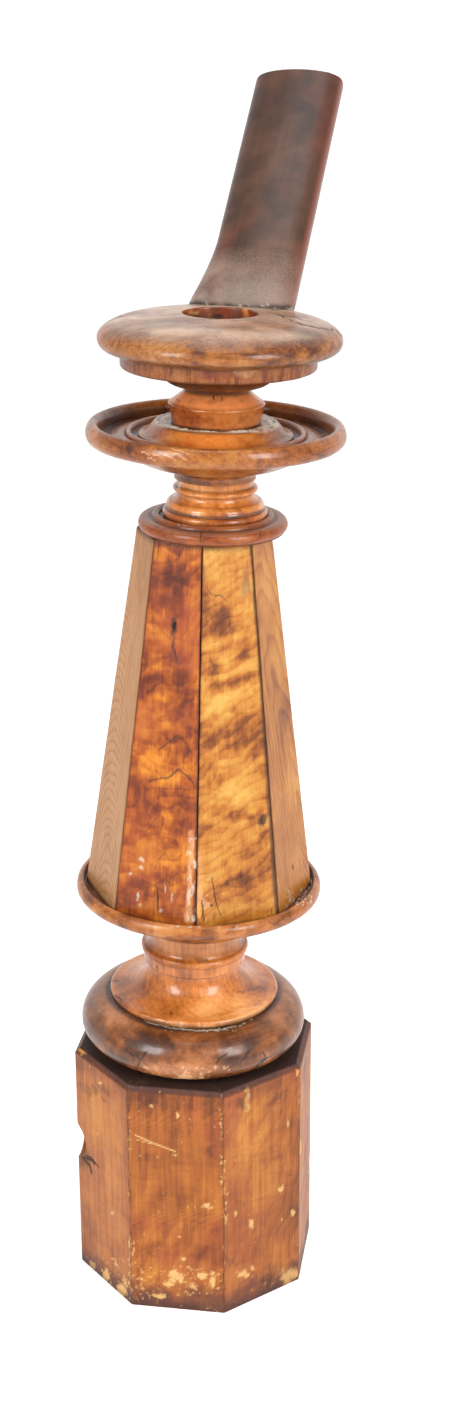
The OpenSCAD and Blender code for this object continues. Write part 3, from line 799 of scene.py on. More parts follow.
def rail():
    n_top, n_bot = 84, 48
    t = np.linspace(0, 180, n_top, endpoint=False)
    sec = [(RW / 2 * math.cos(math.radians(a)), CROWN * max(math.sin(math.radians(a)), 0) ** 0.86) for a in t]
    for a in np.linspace(180, 360, n_bot, endpoint=False):
        ca, sa = math.cos(math.radians(a)), math.sin(math.radians(a))
        sec.append((RW / 2 * (-1 if ca < 0 else 1) * abs(ca) ** 0.55, BELLY * sa))
    sec = np.array(sec)
    ax = np.array([math.cos(SLOPE) * math.cos(RH), math.cos(SLOPE) * math.sin(RH), math.sin(SLOPE)])
    side = np.array([math.sin(RH), -math.cos(RH), 0.0])  # to the camera's right
    topn = np.cross(side, ax)
    topn = topn if topn[2] > 0 else -topn
    ss = np.concatenate([np.linspace(-52, 60, 80), np.linspace(61.5, RL - 1.2, 130), [RL - 0.7, RL - 0.25, RL]])
    rings, grain = [], []
    for s in ss:
        fl = 12.6 * (max(0.0, 74 - s) / 74) ** 1.6 if s > 0 else 12.6 - s * 0.21
        ea = 1.0
        if s > RL - 1.2:
            ea = 1 - 0.010 * ((s - (RL - 1.2)) / 1.2) ** 2
        x = sec[:, 0] * ea
        y = sec[:, 1] * ea
        x = np.where(x < 0, x - fl * np.clip(-x / (RW / 2), 0, 1), x)
        P = RFOOT + s * ax + x[:, None] * side + y[:, None] * topn
        rings.append(P)
        grain.append(np.stack([x - 30, y + 70, np.full(len(x), s)], 1) * 0.001)
    p = loft("handrail_look", rings, "rail_mahogany", np.concatenate(grain))
    p.s = np.concatenate([np.repeat(ss, len(sec)), [ss[0], ss[-1]]])
    p.x = np.concatenate([np.tile(sec[:, 0], len(ss)), [0, 0]])
    p.y = np.concatenate([np.tile(sec[:, 1], len(ss)), [0, 0]])
    return p


handrail = rail()


# ===========================================================================
# Marks, wear and damage, with painted shade, light and sheen
# ===========================================================================
def groove(p, r0, z0, w, k=0.8, ch="dark", rag=0.5, seed=7, freq=0.05):
    """Painted shade darkening a turned groove, at radius r0 and height z0 of the piece."""
    d = np.hypot(p.R - r0, p.zl - z0)
    n = fbm(p.L * freq, seed, 3)
    m = (1 - smooth(0.35, 1.0, d / w)) * k * (1 - rag * 0.5 + rag * n)
    p.mask[ch] = np.maximum(p.mask[ch], np.clip(m, 0, 1))


def zone(p, cond, k, ch="dark", seed=8, freq=0.03, rag=0.5):
    n = fbm(p.L * freq if hasattr(p, "L") else p.V * freq, seed, 4)
    m = np.where(cond, k * (1 - rag * 0.5 + rag * n), 0)
    p.mask[ch] = np.maximum(p.mask[ch], np.clip(m, 0, 1))


def tone(p, amp, freq, seed, stretch=(1, 1, 1)):
    p.mask["tone"] += amp * fbm(p.V * np.array(stretch) * freq, seed, 4)


for q, z in ((cushion, Z_CUSH), (lower_neck, Z_NECK), (lower_dish, Z_DISH), (head_disc, Z_HEAD), (upper_neck, Z_UPPER), (upper_dish, 0.0), (collar, Z_COLLAR), (cap_ring, Z_RING), (cap, Z_CAP)):
    q.zl = q.L[:, 2] - z
    tone(q, 0.55, 0.018, q.seed + 300)
    tone(q, 0.35, 0.07, q.seed + 310)
    q.push(0.18 * fbm(q.V * 0.09, q.seed + 320, 3))

# ---- plinth ---------------------------------------------------------------
for i, p in boards.items():
    tone(p, 0.7, 0.014, 400 + i, (1, 1, 0.6))
    tone(p, 0.45, 0.06, 410 + i, (1, 1, 0.35))
    z = p.V[:, 2]
    outer = (p.N[:, 0] * math.cos(p.az) + p.N[:, 1] * math.sin(p.az)) > 0.3
    up_end = (z > PLINTH_H - 0.6) & (p.N[:, 2] > 0.3)
    p.mask["dark"] = np.where(up_end, 0.93, p.mask["dark"])
    bev = smooth(PLINTH_H - 5.6, PLINTH_H - 3.8, z)
    p.mask["stain_and_sheen"] = np.maximum(p.mask["stain_and_sheen"], bev * (0.86 + 0.3 * fbm(p.V * 0.06, 420 + i, 3)))
    # darker just under the bevel and towards the foot, with bare wood at the foot
    n = fbm(p.V * np.array([0.05, 0.05, 0.09]), 430 + i, 4)
    p.mask["tone"] -= 0.8 * (1 - smooth(0, 30, PLINTH_H - 5.5 - z + 22 * n)) * outer
    p.mask["tone"] -= 0.9 * (1 - smooth(0, 34, z + 16 * n)) * outer
    p.mask["stain_and_sheen"] = np.maximum(p.mask["stain_and_sheen"], 0.80 * (1 - smooth(6, 36, z + 18 * n)) * outer)
    p.mask["dark"] = np.maximum(p.mask["dark"], 0.42 * (1 - smooth(0, 9, z + 7 * n)) * outer)
    f = fbm(p.V * np.array([0.16, 0.16, 0.20]), 440 + i, 4)
    foot = (1 - smooth(4, 36, z)) * outer
    p.mask["wear_and_sheen"] = np.maximum(p.mask["wear_and_sheen"], np.clip((f + 0.42 * foot - 0.80) * 3.2, 0, 0.7) * foot)
    # flecks of bare wood everywhere
    f2 = fbm(p.V * np.array([0.30, 0.30, 0.20]), 450 + i, 3)
    p.mask["wear_and_sheen"] = np.maximum(p.mask["wear_and_sheen"], np.clip((f2 - 0.66) * 6, 0, 0.8) * outer)
    # dark scuffs
    f3 = fbm(p.V * np.array([0.12, 0.12, 0.03]), 460 + i, 4)
    p.mask["dark"] = np.maximum(p.mask["dark"], np.clip((f3 - 0.52) * 2.5, 0, 0.45) * outer)
    # joints: a dark line with bare chips along it
    e = HALF - np.abs(p.u)
    j = (1 - smooth(0.2, 1.6, e)) * outer
    jn = fbm(np.stack([p.V[:, 2] * 0.12, np.sign(p.u) * 3 + i, p.V[:, 2] * 0], 1), 470 + i, 3)
    p.mask["dark"] = np.maximum(p.mask["dark"], j * np.clip(0.55 + jn, 0, 0.9))
    chip = (1 - smooth(0.6, 2.2, e + 2.0 * fbm(p.V * 0.2, 480 + i, 2))) * smooth(0.26, 0.5, fbm(p.V * np.array([0.02, 0.02, 0.09]), 485 + i, 3)) * outer
    p.mask["wear_and_sheen"] = np.maximum(p.mask["wear_and_sheen"], chip * 0.8)
    p.push(-0.5 * chip * outer)
    sc1 = fbm(np.stack([p.u * 0.03, z * 0.55, z * 0 + i], 1), 495 + i, 2)
    sc2 = fbm(np.stack([p.u * 0.5, z * 0.02, z * 0 + i], 1), 497 + i, 2)
    p.mask["tone"] += (0.15 * sc1 + 0.3 * sc2) * outer
    p.push(0.22 * fbm(p.V * np.array([0.03, 0.03, 0.012]), 490 + i, 3) * outer - 0.25 * outer)

AB, BC, CD, DE = boards[8], boards[1], boards[2], boards[3]
AB.mask["tone"] += 0.12
BC.field = (BC.q[:, 0] * 0.9 + BC.q[:, 1] * 0.34 * smooth(1110, 1230, BC.q[:, 1])) * 0.10 + 1.6 * fbm(BC.V * 0.02, 503, 4)
CD.field = CD.q[:, 0] * 0.10 + CD.q[:, 1] * 0.03 + 1.2 * fbm(CD.V * 0.018, 504, 4)
BC.mask["tone"] += 0.35 * np.sin((BC.q[:, 0] * 0.75 + BC.q[:, 1] * 0.5) * 0.33 + 3 * fbm(BC.V * 0.025, 505, 3)) * smooth(1150, 1230, BC.q[:, 1])
AB.blob("dark", (99, 1092), (10, 5), 0.4, 20, 1.2, 0.15)
AB.blob("dark", (88, 1088), (10, 5), 0.3, 30, 1.2, 0.15)
AB.blob("wear_and_sheen", (100, 1083), (3, 2), 0.8)
for a, b_ in (((79.5, 1155), (100, 1169)), ((82, 1157), (92.5, 1176)), ((84, 1155), (95, 1163))):
    AB.line("crack", [a, ((a[0] + b_[0]) / 2 + 1.5, (a[1] + b_[1]) / 2 - 1.5), b_], 1.3, 1.0, 1.2, 0.5, 3)
AB.blob("dark", (84, 1160), (7, 9), 0.55, 20)
AB.blob("wear_and_sheen", (112, 1213), (2, 2), 0.7)
AB.blob("wear_and_sheen", (105, 1276), (4, 6), 0.85, 15, 0.8)
AB.blob("wear_and_sheen", (122, 1289), (4, 7), 0.9, 10, 0.9)
AB.blob("wear_and_sheen", (92, 1267), (3, 4), 0.6, 0, 0.9)
for p in (AB, BC):
    p.specks("wear_and_sheen", (128, 1112, 133, 1150), 0.34, 2.2, 0.8, 31)
    p.specks("wear_and_sheen", (128, 1240, 134, 1292), 0.40, 3.0, 0.8, 32)
    p.specks("wear_and_sheen", (100, 1258, 150, 1300), 0.24, 4.0, 0.7, 33)
BC.mask["red"] = np.maximum(BC.mask["red"], 0.35 * smooth(0.0, 0.5, fbm(BC.V * 0.02, 501, 3)))
BC.line("wear_and_sheen", [(135, 1135), (150, 1142), (175, 1151.5)], 0.9, 0.95, 0.6, 0.1, 4, False)
BC.line("wear_and_sheen", [(133, 1139), (160, 1146.5)], 0.6, 0.7, 0.8, 0.1, 5)
for c, r in (((177, 1115), (1.5, 5)), ((151, 1106), (1.6, 1.6)), ((175, 1155), (2.0, 1.6)), ((207, 1207), (4.0, 3.0)), ((201, 1276), (5, 3)), ((194, 1287), (4, 3)), ((184, 1259), (2.2, 1.4)), ((181, 1279), (3, 5)), ((168, 1285), (4, 3)), ((213, 1280), (2.5, 6)), ((160, 1297), (6, 2.5))):
    BC.blob("wear_and_sheen", c, r, 0.95, 0, 0.9, 0.25)
BC.blob("wear_and_sheen", (173, 1276), (4.5, 5.5), 1.0, 0, 1.0, 0.3)
BC.specks("wear_and_sheen", (140, 1266, 222, 1296), 0.22, 3.0, 0.7, 35)
BC.blob("dark", (209, 1107), (6, 9), 0.32, 0, 1.2, 0.2)
BC.blob("dark", (209, 1150), (5, 5), 0.35, 0, 1.2, 0.2)
BC.blob("dark", (150, 1103), (9, 5), 0.3, 0, 1.2, 0.2)
BC.line("tone", [(132, 1253), (175, 1250), (222, 1256)], 12, -0.6, 3.0, 0, 6, False, True)
BC.blob("tone", (190, 1100), (26, 8), -0.7, 5, 0.8, 0.05, add=True)
BC.blob("tone", (175, 1215), (30, 34), 0.30, 20, 0.8, 0.03, add=True)
BC.mask["tone"] -= 0.42 * (1 - smooth(1150, 1190, BC.q[:, 1]))
for x_, y_, k_ in ((196, 1112, 0.5), (203, 1135, 0.45), (186, 1128, 0.3), (159, 1120, 0.3), (212, 1120, -0.4), (148, 1135, -0.4), (174, 1140, -0.35)):
    BC.blob("tone", (x_, y_), (2.2, 26), k_ * 1.4, 0, 0.8, 0.10, add=True)
    BC.blob("red", (x_, y_), (3.0, 26), max(k_, 0) * 0.9, 0, 0.8, 0.10)
CD.mask["red"] = np.maximum(CD.mask["red"], 0.28 * smooth(-0.1, 0.5, fbm(CD.V * 0.018, 511, 3)))
CD.blob("red", (232, 1122), (9, 40), 0.45, 4, 0.7, 0.05)
CD.blob("wear_and_sheen", (247, 1103), (3.5, 9), 0.55, 0, 0.8)
CD.blob("dark", (241, 1104), (5, 7), 0.6, 0, 0.8)
CD.blob("wear_and_sheen", (288, 1124), (1.4, 5), 0.8)
CD.blob("tone", (266, 1110), (26, 12), 0.5, -8, 0.7, 0.04, add=True)
CD.blob("tone", (240, 1130), (16, 26), 1.1, 4, 0.8, 0.05, add=True)
CD.blob("tone", (262, 1150), (26, 22), 0.6, -20, 0.8, 0.05, add=True)
for x_, y_, k_ in ((233, 1128, 0.6), (240, 1120, 0.5), (251, 1135, -0.7), (262, 1128, 0.4), (272, 1140, -0.4), (246, 1140, 0.5)):
    CD.blob("tone", (x_, y_), (2.4, 30), k_ * 1.2, 2, 0.8, 0.10, add=True)
for y0 in (1148, 1155, 1162, 1169, 1176, 1201, 1143):
    CD.line("dark", [(228 + y0 % 9, y0 + 2), (255, y0), (290 - y0 % 7, y0 - 5)], 0.8, 0.24, 3.2, 0.0, y0)
for c, r in (((281, 1189), (3, 4)), ((251, 1224), (2.2, 5)), ((293, 1213), (1.6, 2.5)), ((244, 1274), (6, 4)), ((252, 1268), (3, 3.5)), ((236, 1213), (1.5, 3))):
    CD.blob("wear_and_sheen", c, r, 0.9, 0, 0.8, 0.25)
CD.blob("wear_and_sheen", (287, 1276), (12, 7), 0.7, -25, 0.7, 0.12)
CD.blob("dark", (270, 1280), (9, 5), 0.5, -15, 1.2, 0.2)
CD.blob("dark", (233, 1262), (7, 4), 0.32, 10, 1.2, 0.2)
CD.blob("dark", (280, 1097), (10, 4), 0.28, -15, 1.2, 0.2)
CD.specks("wear_and_sheen", (221, 1175, 228, 1225), 0.26, 2.6, 0.8, 36)
for p in (CD, DE):
    p.specks("fresh_and_painted_light", (296, 1068, 300, 1082), 0.6, 4.0, 0.8, 37)
for p in (BC, CD):
    p.specks("wear_and_sheen", (219, 1108, 223, 1200), 0.34, 2.8, 0.8, 38)
DE.mask["wear_and_sheen"] = np.maximum(DE.mask["wear_and_sheen"], 0.0)
for p in (AB, BC):
    p.specks("wear_and_sheen", (129, 1078, 149, 1087), 0.4, 2.6, 0.9, 39)
BC.specks("wear_and_sheen", (206, 1084, 222, 1091), 0.36, 2.4, 0.9, 40)
boards[7].blob("fresh_and_painted_light", (84, 1050), (5, 3.5), 0.9, 10, 0.7, 0.2)
AB.blob("fresh_and_painted_light", (82, 1051), (5, 3), 0.9, 10, 0.7, 0.2)
DE.line("wear_and_sheen", [(301, 1140), (300.5, 1155)], 1.4, 0.8)

# ---- cushion --------------------------------------------------------------
# painted shadow round the foot of the lower neck's flare, and painted shade along the cushion's underside
groove(cushion, 93.5, CUSH_H, 7.5, 0.95, "dark", 0.5, 21, 0.03)
zone(cushion, cushion.zl < 8, 0.5, "dark", 22)
cushion.mask["tone"] -= 0.5 * smooth(-0.1, 0.5, fbm(cushion.V * 0.016, 521, 3))
cushion.blob("stain_and_sheen", (101, 1031), (8, 13), 0.42, 30, 0.9, 0.10)
cushion.blob("stain_and_sheen", (96, 1010), (7, 18), 0.25, 5, 0.9, 0.08)
cushion.blob("tone", (120, 1010), (22, 26), 0.7, 0, 0.7, 0.04, add=True)
cushion.blob("tone", (160, 1045), (50, 9), -0.9, 4, 0.8, 0.05, add=True)
cushion.blob("tone", (250, 1050), (30, 12), -0.6, -20, 0.8, 0.05, add=True)
cushion.blob("tone", (182, 1068), (40, 6), 0.75, 0, 0.7, 0.05, add=True)
cushion.blob("tone", (284, 1010), (14, 26), 0.45, -15, 0.8, 0.04, add=True)
for pts in ([(147.5, 1051), (140, 1060), (137, 1069.5)], [(226, 1052.5), (220, 1058), (216, 1064)], [(253, 1047), (246, 1056), (238.5, 1065)], [(272.5, 1055), (262, 1060), (254, 1070), (242, 1074)], [(262, 1050), (266, 1058), (260, 1066)], [(126, 1050), (133, 1055), (134, 1062)]):
    cushion.line("crack", pts, 1.15, 0.95, 1.6, 0.35, int(pts[0][0]))
cushion.blob("wear_and_sheen", (187, 1080), (14, 4.5), 0.9, -3, 0.9, 0.14)
cushion.blob("wear_and_sheen", (133, 1076), (10, 3.5), 0.75, 16, 0.9, 0.16)
cushion.specks("wear_and_sheen", (120, 1066, 230, 1088), 0.30, 3.0, 0.7, 41)
cushion.specks("glue", (165, 1027, 236, 1031.5), 0.30, 2.0, 0.7, 43)
cushion.line("glue", [(131, 1013), (148, 1022), (168, 1027.5), (195, 1030), (222, 1029.5), (240, 1025), (252, 1019.5)], 0.9, 0.62, 1.2, 0, 9)

# ---- lower neck -----------------------------------------------------------
# painted shade in the neck's grooves, under the dish and round the flare's foot
groove(lower_neck, 55.9, 54.0, 3.2, 0.85)
groove(lower_neck, 52.5, 40.8, 3.0, 0.7)
groove(lower_neck, 51.5, 70, 12, 0.3)
groove(lower_neck, 54, 83, 6, 0.6)
groove(lower_neck, FR, 3, 4, 0.6, "dark", 0.8)
lower_neck.line("crack", [(156, 965), (157.5, 969)], 0.9, 0.9, 0.4, 0.2)
lower_neck.blob("dark", (201, 960), (6, 3), 0.5, 5)
lower_neck.line("crack", [(109, 980), (114, 981), (120, 981)], 0.9, 0.9, 0.8, 0.3, 2)
lower_neck.line("crack", [(114, 996), (119, 997.5), (123, 1001)], 1.1, 0.9, 0.8, 0.3, 3)
lower_neck.line("crack", [(253, 1006), (262, 1003)], 0.8, 0.6, 0.8, 0.2, 4)
lower_neck.blob("dark", (171, 1013), (2.2, 1.6), 0.7)
lower_neck.blob("tone", (128, 985), (14, 14), -0.8, 0, 0.8, 0.04, add=True)
lower_neck.blob("tone", (200, 1010), (60, 12), 0.35, 0, 0.8, 0.05, add=True)
for x0, y0, x1, y1 in ((230, 1008, 262, 1000), (205, 1017, 245, 1006), (140, 1012, 160, 1018), (236, 992, 262, 985)):
    lower_neck.line("tone", [(x0, y0), ((x0 + x1) / 2, (y0 + y1) / 2 + 2), (x1, y1)], 2.6, -0.5, 2.0, 0, int(x0), True, True)
lower_neck.specks("glue", (165, 1022, 238, 1031), 0.26, 3.0, 0.5, 44)

# ---- lower dish -----------------------------------------------------------
# painted shade: the seat floor round the staves' feet, the seat's groove, under the lip and along the underside
zone(lower_dish, (lower_dish.zl > 46) & (lower_dish.R < SEAT_R + 1.5) & (lower_dish.N[:, 2] > 0.2), 0.85, "dark", 23)
groove(lower_dish, SEAT_R, 48.5, 6, 0.9)
groove(lower_dish, 127.0, 39, 7, 0.5, "dark", 0.6)
zone(lower_dish, lower_dish.zl < 6, 0.6, "dark", 24)
tone(lower_dish, 0.6, 0.03, 531)
lower_dish.specks("glue", (285, 880, 312, 905), 0.32, 2.2, 0.95, 45)
lower_dish.specks("glue", (150, 910, 240, 928), 0.26, 2.2, 0.7, 46)
lower_dish.specks("dark", (60, 870, 330, 945), 0.42, 20.0, 0.35, 47)
lower_dish.line("crack", [(268, 921), (276, 926)], 0.9, 0.7, 0.5, 0.2)

# the lip painted lighter at its front and darker at its left and right: painted light and shade
lower_dish.blob("tone", (190, 928), (70, 8), 0.7, 0, 0.8, 0.05, add=True)
lower_dish.blob("tone", (100, 900), (20, 10), -0.6, 30, 0.8, 0.05, add=True)
lower_dish.blob("tone", (282, 914), (24, 8), -0.5, -20, 0.8, 0.05, add=True)

# ---- head disc ------------------------------------------------------------
# painted shade round the foot of the upper neck, in the groove on top and under the disc's edge
groove(head_disc, 53.5, head_h + 0.5, 5.5, 1.0, "dark", 0.3)
groove(head_disc, 64.5, head_h, 3.5, 0.75)
zone(head_disc, (head_disc.R > 60) & (head_disc.N[:, 2] > 0.7), 0.45, "stain_and_sheen", 25)
groove(head_disc, HDR - 1, 1.0, 2.5, 0.7)
head_disc.line("crack", [(201.5, 531), (200.8, 543)], 1.1, 1.0, 0.4, 0.4)
head_disc.line("crack", [(260.5, 530), (260, 538)], 0.9, 0.8, 0.4, 0.3)
head_disc.line("crack", [(237, 537), (236.8, 541)], 0.8, 0.6, 0.4, 0.2)
head_disc.specks("glue", (178, 514, 222, 526), 0.34, 2.0, 0.8, 48)

# ---- upper neck -----------------------------------------------------------
# painted shade in the grooves between the beads and round the foot
groove(upper_neck, 51, 10.8, 2.8, 0.9)
groove(upper_neck, 46, 19.5, 2.2, 0.35)
groove(upper_neck, UNR, 27, 1.8, 0.6)
groove(upper_neck, UNR + 0.4, 34.6, 1.8, 0.6)
groove(upper_neck, 52, 0.4, 2.2, 0.9)
upper_neck.line("glue", [(177, 487), (181, 483), (184, 482)], 0.9, 1.0, 0.5)
upper_neck.blob("glue", (179, 488), (1.6, 2.2), 0.9)
upper_neck.specks("dark", (165, 470, 275, 525), 0.40, 12.0, 0.22, 49)
upper_neck.mask["tone"] -= 0.55 * (1 - smooth(11, 17, upper_neck.zl))
upper_neck.mask["red"] = np.maximum(upper_neck.mask["red"], 0.22 * (1 - smooth(9, 14, upper_neck.zl)))

# ---- upper dish -----------------------------------------------------------
# painted shade in the grooves inside the lip and on the underside round the neck
groove(upper_dish, 113, 963, 6, 0.85, "dark", 0.4)
groove(upper_dish, 108, 963.4, 1.8, 0.9)
groove(upper_dish, 82, 964, 4.0, 0.98, "dark", 0.25)
groove(upper_dish, 93.6, 967.0, 1.5, 0.95)
groove(upper_dish, 101, 967, 1.0, 0.55)
groove(upper_dish, 118, 956, 9, 0.45, "dark", 0.9)
groove(upper_dish, 62, 936, 8, 0.3)
groove(upper_dish, 44, 925, 3, 0.4)
# a darkened ring round the collar's foot: painted shade
zone(upper_dish, (upper_dish.R < 62) & (upper_dish.zl > 976) & (upper_dish.R > 40), 0.55, "dark", 26)
th = upper_dish.TH + LEAN_DIR
side_k = np.clip(np.abs(np.cos(th)) ** 1.5 * 1.3, 0, 1)
gl = (1 - smooth(0.4, 1.0, np.abs(upper_dish.R - (50.5 + 5.5 * side_k)) / (2.0 + 8.0 * side_k))) * (upper_dish.zl > 974)
gn = fbm(upper_dish.V * 0.22, 541, 4)
upper_dish.mask["glue"] = np.maximum(upper_dish.mask["glue"], np.clip(gl * (0.75 + 1.1 * gn), 0, 1))
upper_dish.push(np.clip(gl * (0.9 + 1.6 * gn), 0, 2.4))
tone(upper_dish, 0.5, 0.03, 542)
# the floor between the lip and the rings is darkened: painted shade in the recess
zone(upper_dish, (upper_dish.R < 118.5) & (upper_dish.R > 107.6) & (upper_dish.N[:, 2] > 0.0) & (upper_dish.zl > 958), 0.55, "dark", 29)
upper_dish.mask["tone"] += 0.5 * ((upper_dish.R > 85.5) & (upper_dish.R < 107.5) & (upper_dish.zl > 963)) + 0.3 * ((upper_dish.R > 60) & (upper_dish.R < 79) & (upper_dish.zl > 966))
upper_dish.mask["fresh_and_painted_light"] = np.maximum(upper_dish.mask["fresh_and_painted_light"], 0.4 * ((upper_dish.R > 61) & (upper_dish.R < 78) & (upper_dish.zl > 967)) * np.exp(-((upper_dish.q[:, 0] - 212) / 42.0) ** 2))
upper_dish.mask["red"] = np.maximum(upper_dish.mask["red"], 0.28 * ((upper_dish.R > 85.5) & (upper_dish.R < 107.5) & (upper_dish.zl > 963)))
for x0, y0, x1, y1 in ((140, 451, 152, 457), (150, 454, 166, 460), (158, 452, 178, 462), (166, 451, 188, 460), (172, 449, 190, 455), (146, 458, 156, 461)):
    upper_dish.line("wear_and_sheen", [(x0, y0), ((x0 + x1) / 2, (y0 + y1) / 2 - 1), (x1, y1)], 0.9, 0.75, 1.2, 0.1, int(x0 * 3))
upper_dish.specks("dark", (85, 430, 347, 478), 0.36, 2.6, 0.22, 51)
upper_dish.specks("dark", (86, 400, 118, 465), 0.45, 12.0, 0.35, 52)

upper_dish.blob("tone", (216, 438), (44, 8), 1.3, 0, 0.6, 0.05, add=True)
upper_dish.blob("tone", (200, 433), (26, 5), 1.1, 0, 0.6, 0.05, add=True)
upper_dish.blob("tone", (118, 440), (16, 16), -0.5, 0, 0.6, 0.05, add=True)

# the cap's up-facing top is painted darker, against the top light, and greyish: painted shade with a painted sheen
cap.mask["tone"] -= 0.75 * smooth(0.70, 0.97, cap.N[:, 2])
cap.blob("tone", (150, 326), (40, 12), -0.35, 0, 0.8, 0.03, add=True)
cap.blob("tone", (285, 324), (34, 10), 0.35, 0, 0.8, 0.03, add=True)
cap.mask["stain_and_sheen"] = np.maximum(cap.mask["stain_and_sheen"], 0.22 * smooth(0.70, 0.97, cap.N[:, 2]))

# ---- collar ---------------------------------------------------------------
# painted shade in the grooves at the collar's foot and under the cap ring
groove(collar, 46, 0.5, 3.0, 0.9, "dark", 0.4)
groove(collar, 33, 33, 3.0, 0.4)
# the cone under the cap ring is painted lighter and oranger to offset the shade the ring casts on it: painted light
collar.mask["tone"] += 1.5 * smooth(20.5, 25, collar.zl)
collar.mask["fresh_and_painted_light"] = np.maximum(collar.mask["fresh_and_painted_light"], 0.7 * np.clip(0.75 + 0.7 * fbm(collar.V * 0.1, 552, 3), 0.25, 1.0) * smooth(21, 24, collar.zl) * (1 - smooth(30.5, 33, collar.zl)))
collar.line("crack", [(213, 394), (214, 400)], 1.0, 1.0, 0.4, 0.3)
collar.line("crack", [(222, 396), (222, 401)], 0.9, 0.9, 0.4, 0.3)
collar.line("crack", [(176, 399), (180, 402)], 0.8, 0.6, 0.4, 0.2)
collar.specks("dark", (170, 398, 262, 430), 0.4, 10.0, 0.25, 53)
collar.blob("tone", (240, 410), (14, 9), 0.5, 0, 0.6, 0.06, add=True)
collar.blob("tone", (190, 415), (12, 12), -0.6, 0, 0.6, 0.06, add=True)

# ---- cap ring and bowl ----------------------------------------------------
# the cove under the ring's flange and the grooves at its top and flange are darkened: painted shade
bowl = (cap_ring.R < 59.5) & (cap_ring.zl < 23)
zone(cap_ring, bowl, 0.62, "dark", 27)
groove(cap_ring, 98, 39.5, 5, 0.8)
groove(cap_ring, RR, 24, 2.0, 0.5)
st = fbm(np.stack([cap_ring.TH * 26, cap_ring.zl * 0.05, cap_ring.R * 0.02], 1), 551, 3)
st2 = fbm(np.stack([cap_ring.TH * 70, cap_ring.zl * 0.08, cap_ring.R * 0.02], 1), 552, 3)
side = (cap_ring.R > 96) & (cap_ring.zl > 24)
cap_ring.mask["tone"] += np.where(side, 1.5 * st + 1.2 * st2, 0)
cap_ring.mask["red"] = np.maximum(cap_ring.mask["red"], np.where(side, np.clip(0.6 * st + 0.08, 0, 0.5), 0))
cap_ring.blob("red", (215, 372), (20, 8), 0.5, 0, 0.8, 0.08)
cap_ring.blob("wear_and_sheen", (245, 372), (10, 7), 0.35, 0, 0.8, 0.1)

# ---- cap ------------------------------------------------------------------
# a greyish sheen painted over the cap's up-facing top: painted reflection of the white surroundings
top = smooth(0.80, 0.97, cap.N[:, 2]) * (cap.zl > 15)
cap.mask["stain_and_sheen"] = np.maximum(cap.mask["stain_and_sheen"], top * np.clip(0.46 + 0.6 * fbm(cap.V * np.array([0.02, 0.05, 0.05]), 561, 4), 0, 0.8) * (cap.R > 38))
# the cap's underside is darkened: painted shade
zone(cap, cap.zl < 5, 0.6, "dark", 28)
cap.specks("dark", (98, 335, 342, 362), 0.36, 1.6, 0.35, 54, (1, 0.6))
cap.specks("dark", (98, 300, 342, 365), 0.40, 14.0, 0.22, 55)
# painted shade along the bottom of the cap's front and on its right side, and a painted highlight on its left front
cap.blob("tone", (255, 352), (50, 8), -0.7, -4, 0.8, 0.05, add=True)
cap.blob("tone", (150, 345), (36, 8), 0.4, 5, 0.8, 0.05, add=True)
cap.blob("tone", (310, 340), (24, 12), -0.7, 20, 0.8, 0.05, add=True)
cap.line("crack", [(277, 314), (297, 323), (318, 328), (336, 330), (342, 336)], 0.85, 0.9, 1.4, 0.3, 5, False)
cap.line("crack", [(290, 315), (304, 320), (316, 322)], 0.8, 0.6, 1.2, 0.2, 6)
cap.line("crack", [(114.5, 317), (118, 316), (122, 316.5)], 0.9, 0.9, 0.5, 0.3, 7)
hole = (cap.R < 38.6) & (cap.zl < 36.2)
floor_ = hole & (cap.R < 36.9) & (cap.zl < 22)
wall = hole & ~floor_
hn = fbm(cap.V * 0.09, 562, 4)
cap.V[floor_, 2] += (2.8 * hn[floor_] - 1.5) * np.clip((36.5 - cap.R[floor_]) / 6, 0, 1)
cap.mask["stain_and_sheen"][hole] = 0
# the hole is painted darker, more so deeper down and on its floor: painted shade
cap.mask["tone"][hole] -= 0.6
cap.mask["dark"] = np.where(floor_, np.clip(0.62 + 0.8 * hn, 0.15, 1), cap.mask["dark"])
cap.mask["red"] = np.where(wall, 0.55, np.where(floor_, 0.7, cap.mask["red"]))
cap.mask["dark"] = np.where(wall, np.clip(0.25 + 0.7 * hn + 0.4 * (1 - (cap.zl - 20.6) / 15), 0, 0.85), cap.mask["dark"])
cap.mask["fresh_and_painted_light"] = np.where(wall, np.clip(1.2 * fbm(cap.V * 0.13, 563, 3), 0, 0.75), cap.mask["fresh_and_painted_light"])
cap.update()
cap.blob("wear_and_sheen", (194, 313), (5, 2.5), 0.8, 0, 0.6)
cap.blob("dark", (216, 316), (9, 3), 0.95, 0, 0.5)

# ---- staves ---------------------------------------------------------------
for i, p in staves.items():
    e = 1 - np.abs(p.u)
    p.mask["tone"] -= 0.45 * (1 - smooth(0.0, 0.08, e))
    strong = {2: p.u > 0, 3: p.u > -2, 4: p.u < 0}.get(i, p.u > 9)
    p.mask["dark"] = np.maximum(p.mask["dark"], np.where(strong, 0.75, 0.25) * (1 - smooth(0.0, 0.03, e)))
    # the foot, down in the dish's seat, and the head, under the head disc, are darkened: painted shade
    fo = (1 - smooth(0.0, 0.018, p.v)) * 0.6
    hd = smooth(0.978, 1.0, p.v) * 0.7
    p.mask["dark"] = np.maximum(p.mask["dark"], np.maximum(fo, hd))
    p.push(0.25 * fbm(p.V * np.array([0.03, 0.03, 0.02]), 600 + i, 3) - 0.2)
S1, S2, S3, S4 = staves[1], staves[2], staves[3], staves[4]
X1, Y1 = S1.q[:, 0], S1.q[:, 1]
tone(S1, 0.35, 0.03, 611, (1, 1, 0.4))
tone(S1, 0.35, 0.16, 612, (1, 1, 0.3))
